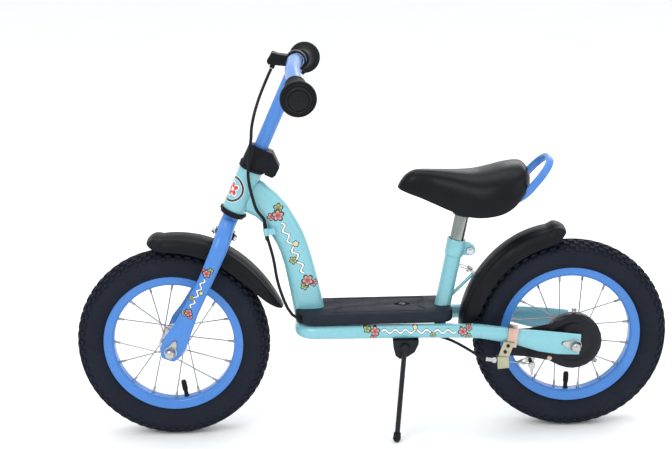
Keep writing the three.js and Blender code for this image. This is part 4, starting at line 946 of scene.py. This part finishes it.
def make_brake_details():
    spring = Solid()
    turns, steps, start, length, radius, wire = 7, 12, 49.5, 14, 2.3, 0.5
    other = WIRE_WAY.cross(RIGHT)
    points = []
    for i in range(turns * steps + 1):
        a = 2 * math.pi * i / steps
        along = start + length * i / (turns * steps)
        points.append(WIRE_START + WIRE_WAY * along + (RIGHT * math.cos(a) + other * math.sin(a)) * radius)
    spring.tube(points, wire, 6)
    spring.object("anchor_spring_coil", "zinc", "brake_arm", "zinc", ["anchor_spring"])

    rivet = Solid()
    rivet.lathe(RIVET, RIVET_PLACE, RIGHT, 24)
    rivet.object("cover_rivet_head", "copper", "frame", "zinc")

    screws = Solid()
    for degrees in SCREW_DEGREES:
        screws.lathe(SCREW, REAR_AXLE + RIGHT * SCREW_Y, side_way(math.radians(degrees)), 6)
    screws.object("cover_screw_heads", "zinc", "frame", "zinc", angle=25)

    studs = Solid()
    for place in STUD_PLACES:
        studs.lathe(STUD, place, RIGHT, 18)
    studs.object("lug_studs", "black_steel", "frame", "black_steel")


# ---------------------------------------------------------------------------
# Carried-over CAD nodes
# ---------------------------------------------------------------------------
SMOOTH_ANGLE, BEVEL_ANGLE, WELD_DISTANCE = math.radians(42), math.radians(48), 0.00001


def smoothing_group():
    """Smooths a mesh except across its real edges."""
    group = bpy.data.node_groups.new("weld_and_smooth", "GeometryNodeTree")
    group.interface.new_socket("Geometry", in_out="INPUT", socket_type="NodeSocketGeometry")
    group.interface.new_socket("Geometry", in_out="OUTPUT", socket_type="NodeSocketGeometry")
    start, end = group.nodes.new("NodeGroupInput"), group.nodes.new("NodeGroupOutput")
    faces = group.nodes.new("GeometryNodeSetShadeSmooth")
    edges = group.nodes.new("GeometryNodeSetShadeSmooth")
    edges.domain = "EDGE"
    edges.inputs["Shade Smooth"].default_value = False
    angle = group.nodes.new("GeometryNodeInputMeshEdgeAngle")
    above = group.nodes.new("FunctionNodeCompare")
    above.operation = "GREATER_THAN"
    above.inputs[1].default_value = SMOOTH_ANGLE
    link = group.links.new
    link(start.outputs[0], faces.inputs["Geometry"])
    link(faces.outputs[0], edges.inputs["Geometry"])
    link(angle.outputs["Unsigned Angle"], above.inputs[0])
    link(above.outputs[0], edges.inputs["Selection"])
    link(edges.outputs[0], end.inputs[0])
    return group


SMOOTHING = smoothing_group()


def dress(look, bevel, *names):
    """Gives CAD nodes a material, welded vertices, softened edges and smooth shading."""
    for name in names:
        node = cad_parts[name]
        node.data.materials.clear()
        node.data.materials.append(LOOKS[look])
        weld = node.modifiers.new("weld", "WELD")
        weld.merge_threshold = WELD_DISTANCE
        if bevel:
            edge = node.modifiers.new("bevel", "BEVEL")
            edge.width = bevel * MM
            edge.segments = 2
            edge.limit_method = "ANGLE"
            edge.angle_limit = BEVEL_ANGLE
            edge.use_clamp_overlap = True
        smooth = node.modifiers.new("smooth", "NODES")
        smooth.node_group = SMOOTHING


def dress_frame():
    dress("turquoise", 0.5, "seat_tube", "seat_clamp")
    dress("down_tube", 0.4, "down_tube")
    dress("rails", 0.4, "side_rail_left", "side_rail_right")
    dress("head_tube", 0.5, "head_tube")
    dress("fork", 0.5, "fork_leg_left", "fork_leg_right")
    dress("blue", 0.4, "handlebar", "steerer_tube")
    dress("chrome", 0.3, "seat_clamp_bolt", "crown_bolt", "barrel_adjuster")
    # The seat post takes the darker chrome, whose base colour is a painted dark reflection.
    dress("post_chrome_painted_dark_reflection", 0.3, "seat_post")
    dress("zinc", 0.3, "front_axle", "rear_axle", "rear_mudguard_bracket", "rear_mudguard_bolt")
    dress("zinc", 0.3, "anchor_nut", "brake_drum", "brake_arm", "front_axle_nut_left", "front_axle_nut_right")
    dress("zinc", 0.3, "rear_axle_nut_left", "rear_axle_nut_right")
    dress("zinc", 0, "brake_wire")
    dress("black_steel", 0.4, "brake_cover", "kickstand_bracket", "kickstand_leg")
    dress("black_steel", 0.4, "stem_clamp", "footboard_screw", "saddle_clamp")
    dress("plastic", 0.5, "stem_cover", "headset_upper", "headset_lower")
    dress("plastic", 0.5, "lever_bracket", "brake_lever", "saddle_base")
    dress("deck", 0.6, "footboard")
    dress("rubber", 0.2, "kickstand_foot")
    dress("rubber", 0, "cable_lower")
    dress("brass", 0.3, "brake_bracket")
    dress("copper", 0.2, "brake_strap")


FLOOR_HALF = 20000


def make_floor():
    look = Look("pale_floor", (0.97, 0.97, 0.97), 0.7)
    shade = look.shaded(look.color, 0.01, 2.0)
    floor = Solid()
    corners = ((-1, -1), (1, -1), (1, 1), (-1, 1))
    floor.add([(x * FLOOR_HALF, y * FLOOR_HALF, 0) for x, y in corners], [[0, 1, 2, 3]])
    LOOKS["floor"] = look.finish(shade, look.worn(0.05, 3.0))
    floor.object("floor", "floor")


make_camera()
make_studio()
make_floor()
for prefix, axle, carrier, hub_size, valve_angle in (  # hub_size is its left end, right end and spoke phase
    ("front", FRONT_AXLE, "front_wheel", (-30, 30, -0.022), 279),
    ("rear", REAR_AXLE, "rear_wheel", (-29.5, 26, 0.17), 268),
):
    make_tyre(prefix, axle, carrier)
    make_rim(prefix, axle, carrier)
    make_hub(prefix, axle, carrier, *hub_size)
    make_valve(prefix, axle, carrier, valve_angle)
make_guard("front_guard_shell", FRONT_GUARD, FRONT_AXLE, "fork", "front_mudguard", crown_tab())
make_guard("rear_guard_shell", REAR_GUARD, REAR_AXLE, "frame", "rear_mudguard")
make_grip("left", -1)
make_grip("right", 1)
make_cables()
make_saddle()
make_handle()
make_deck_line()
make_brake_details()
dress_frame()
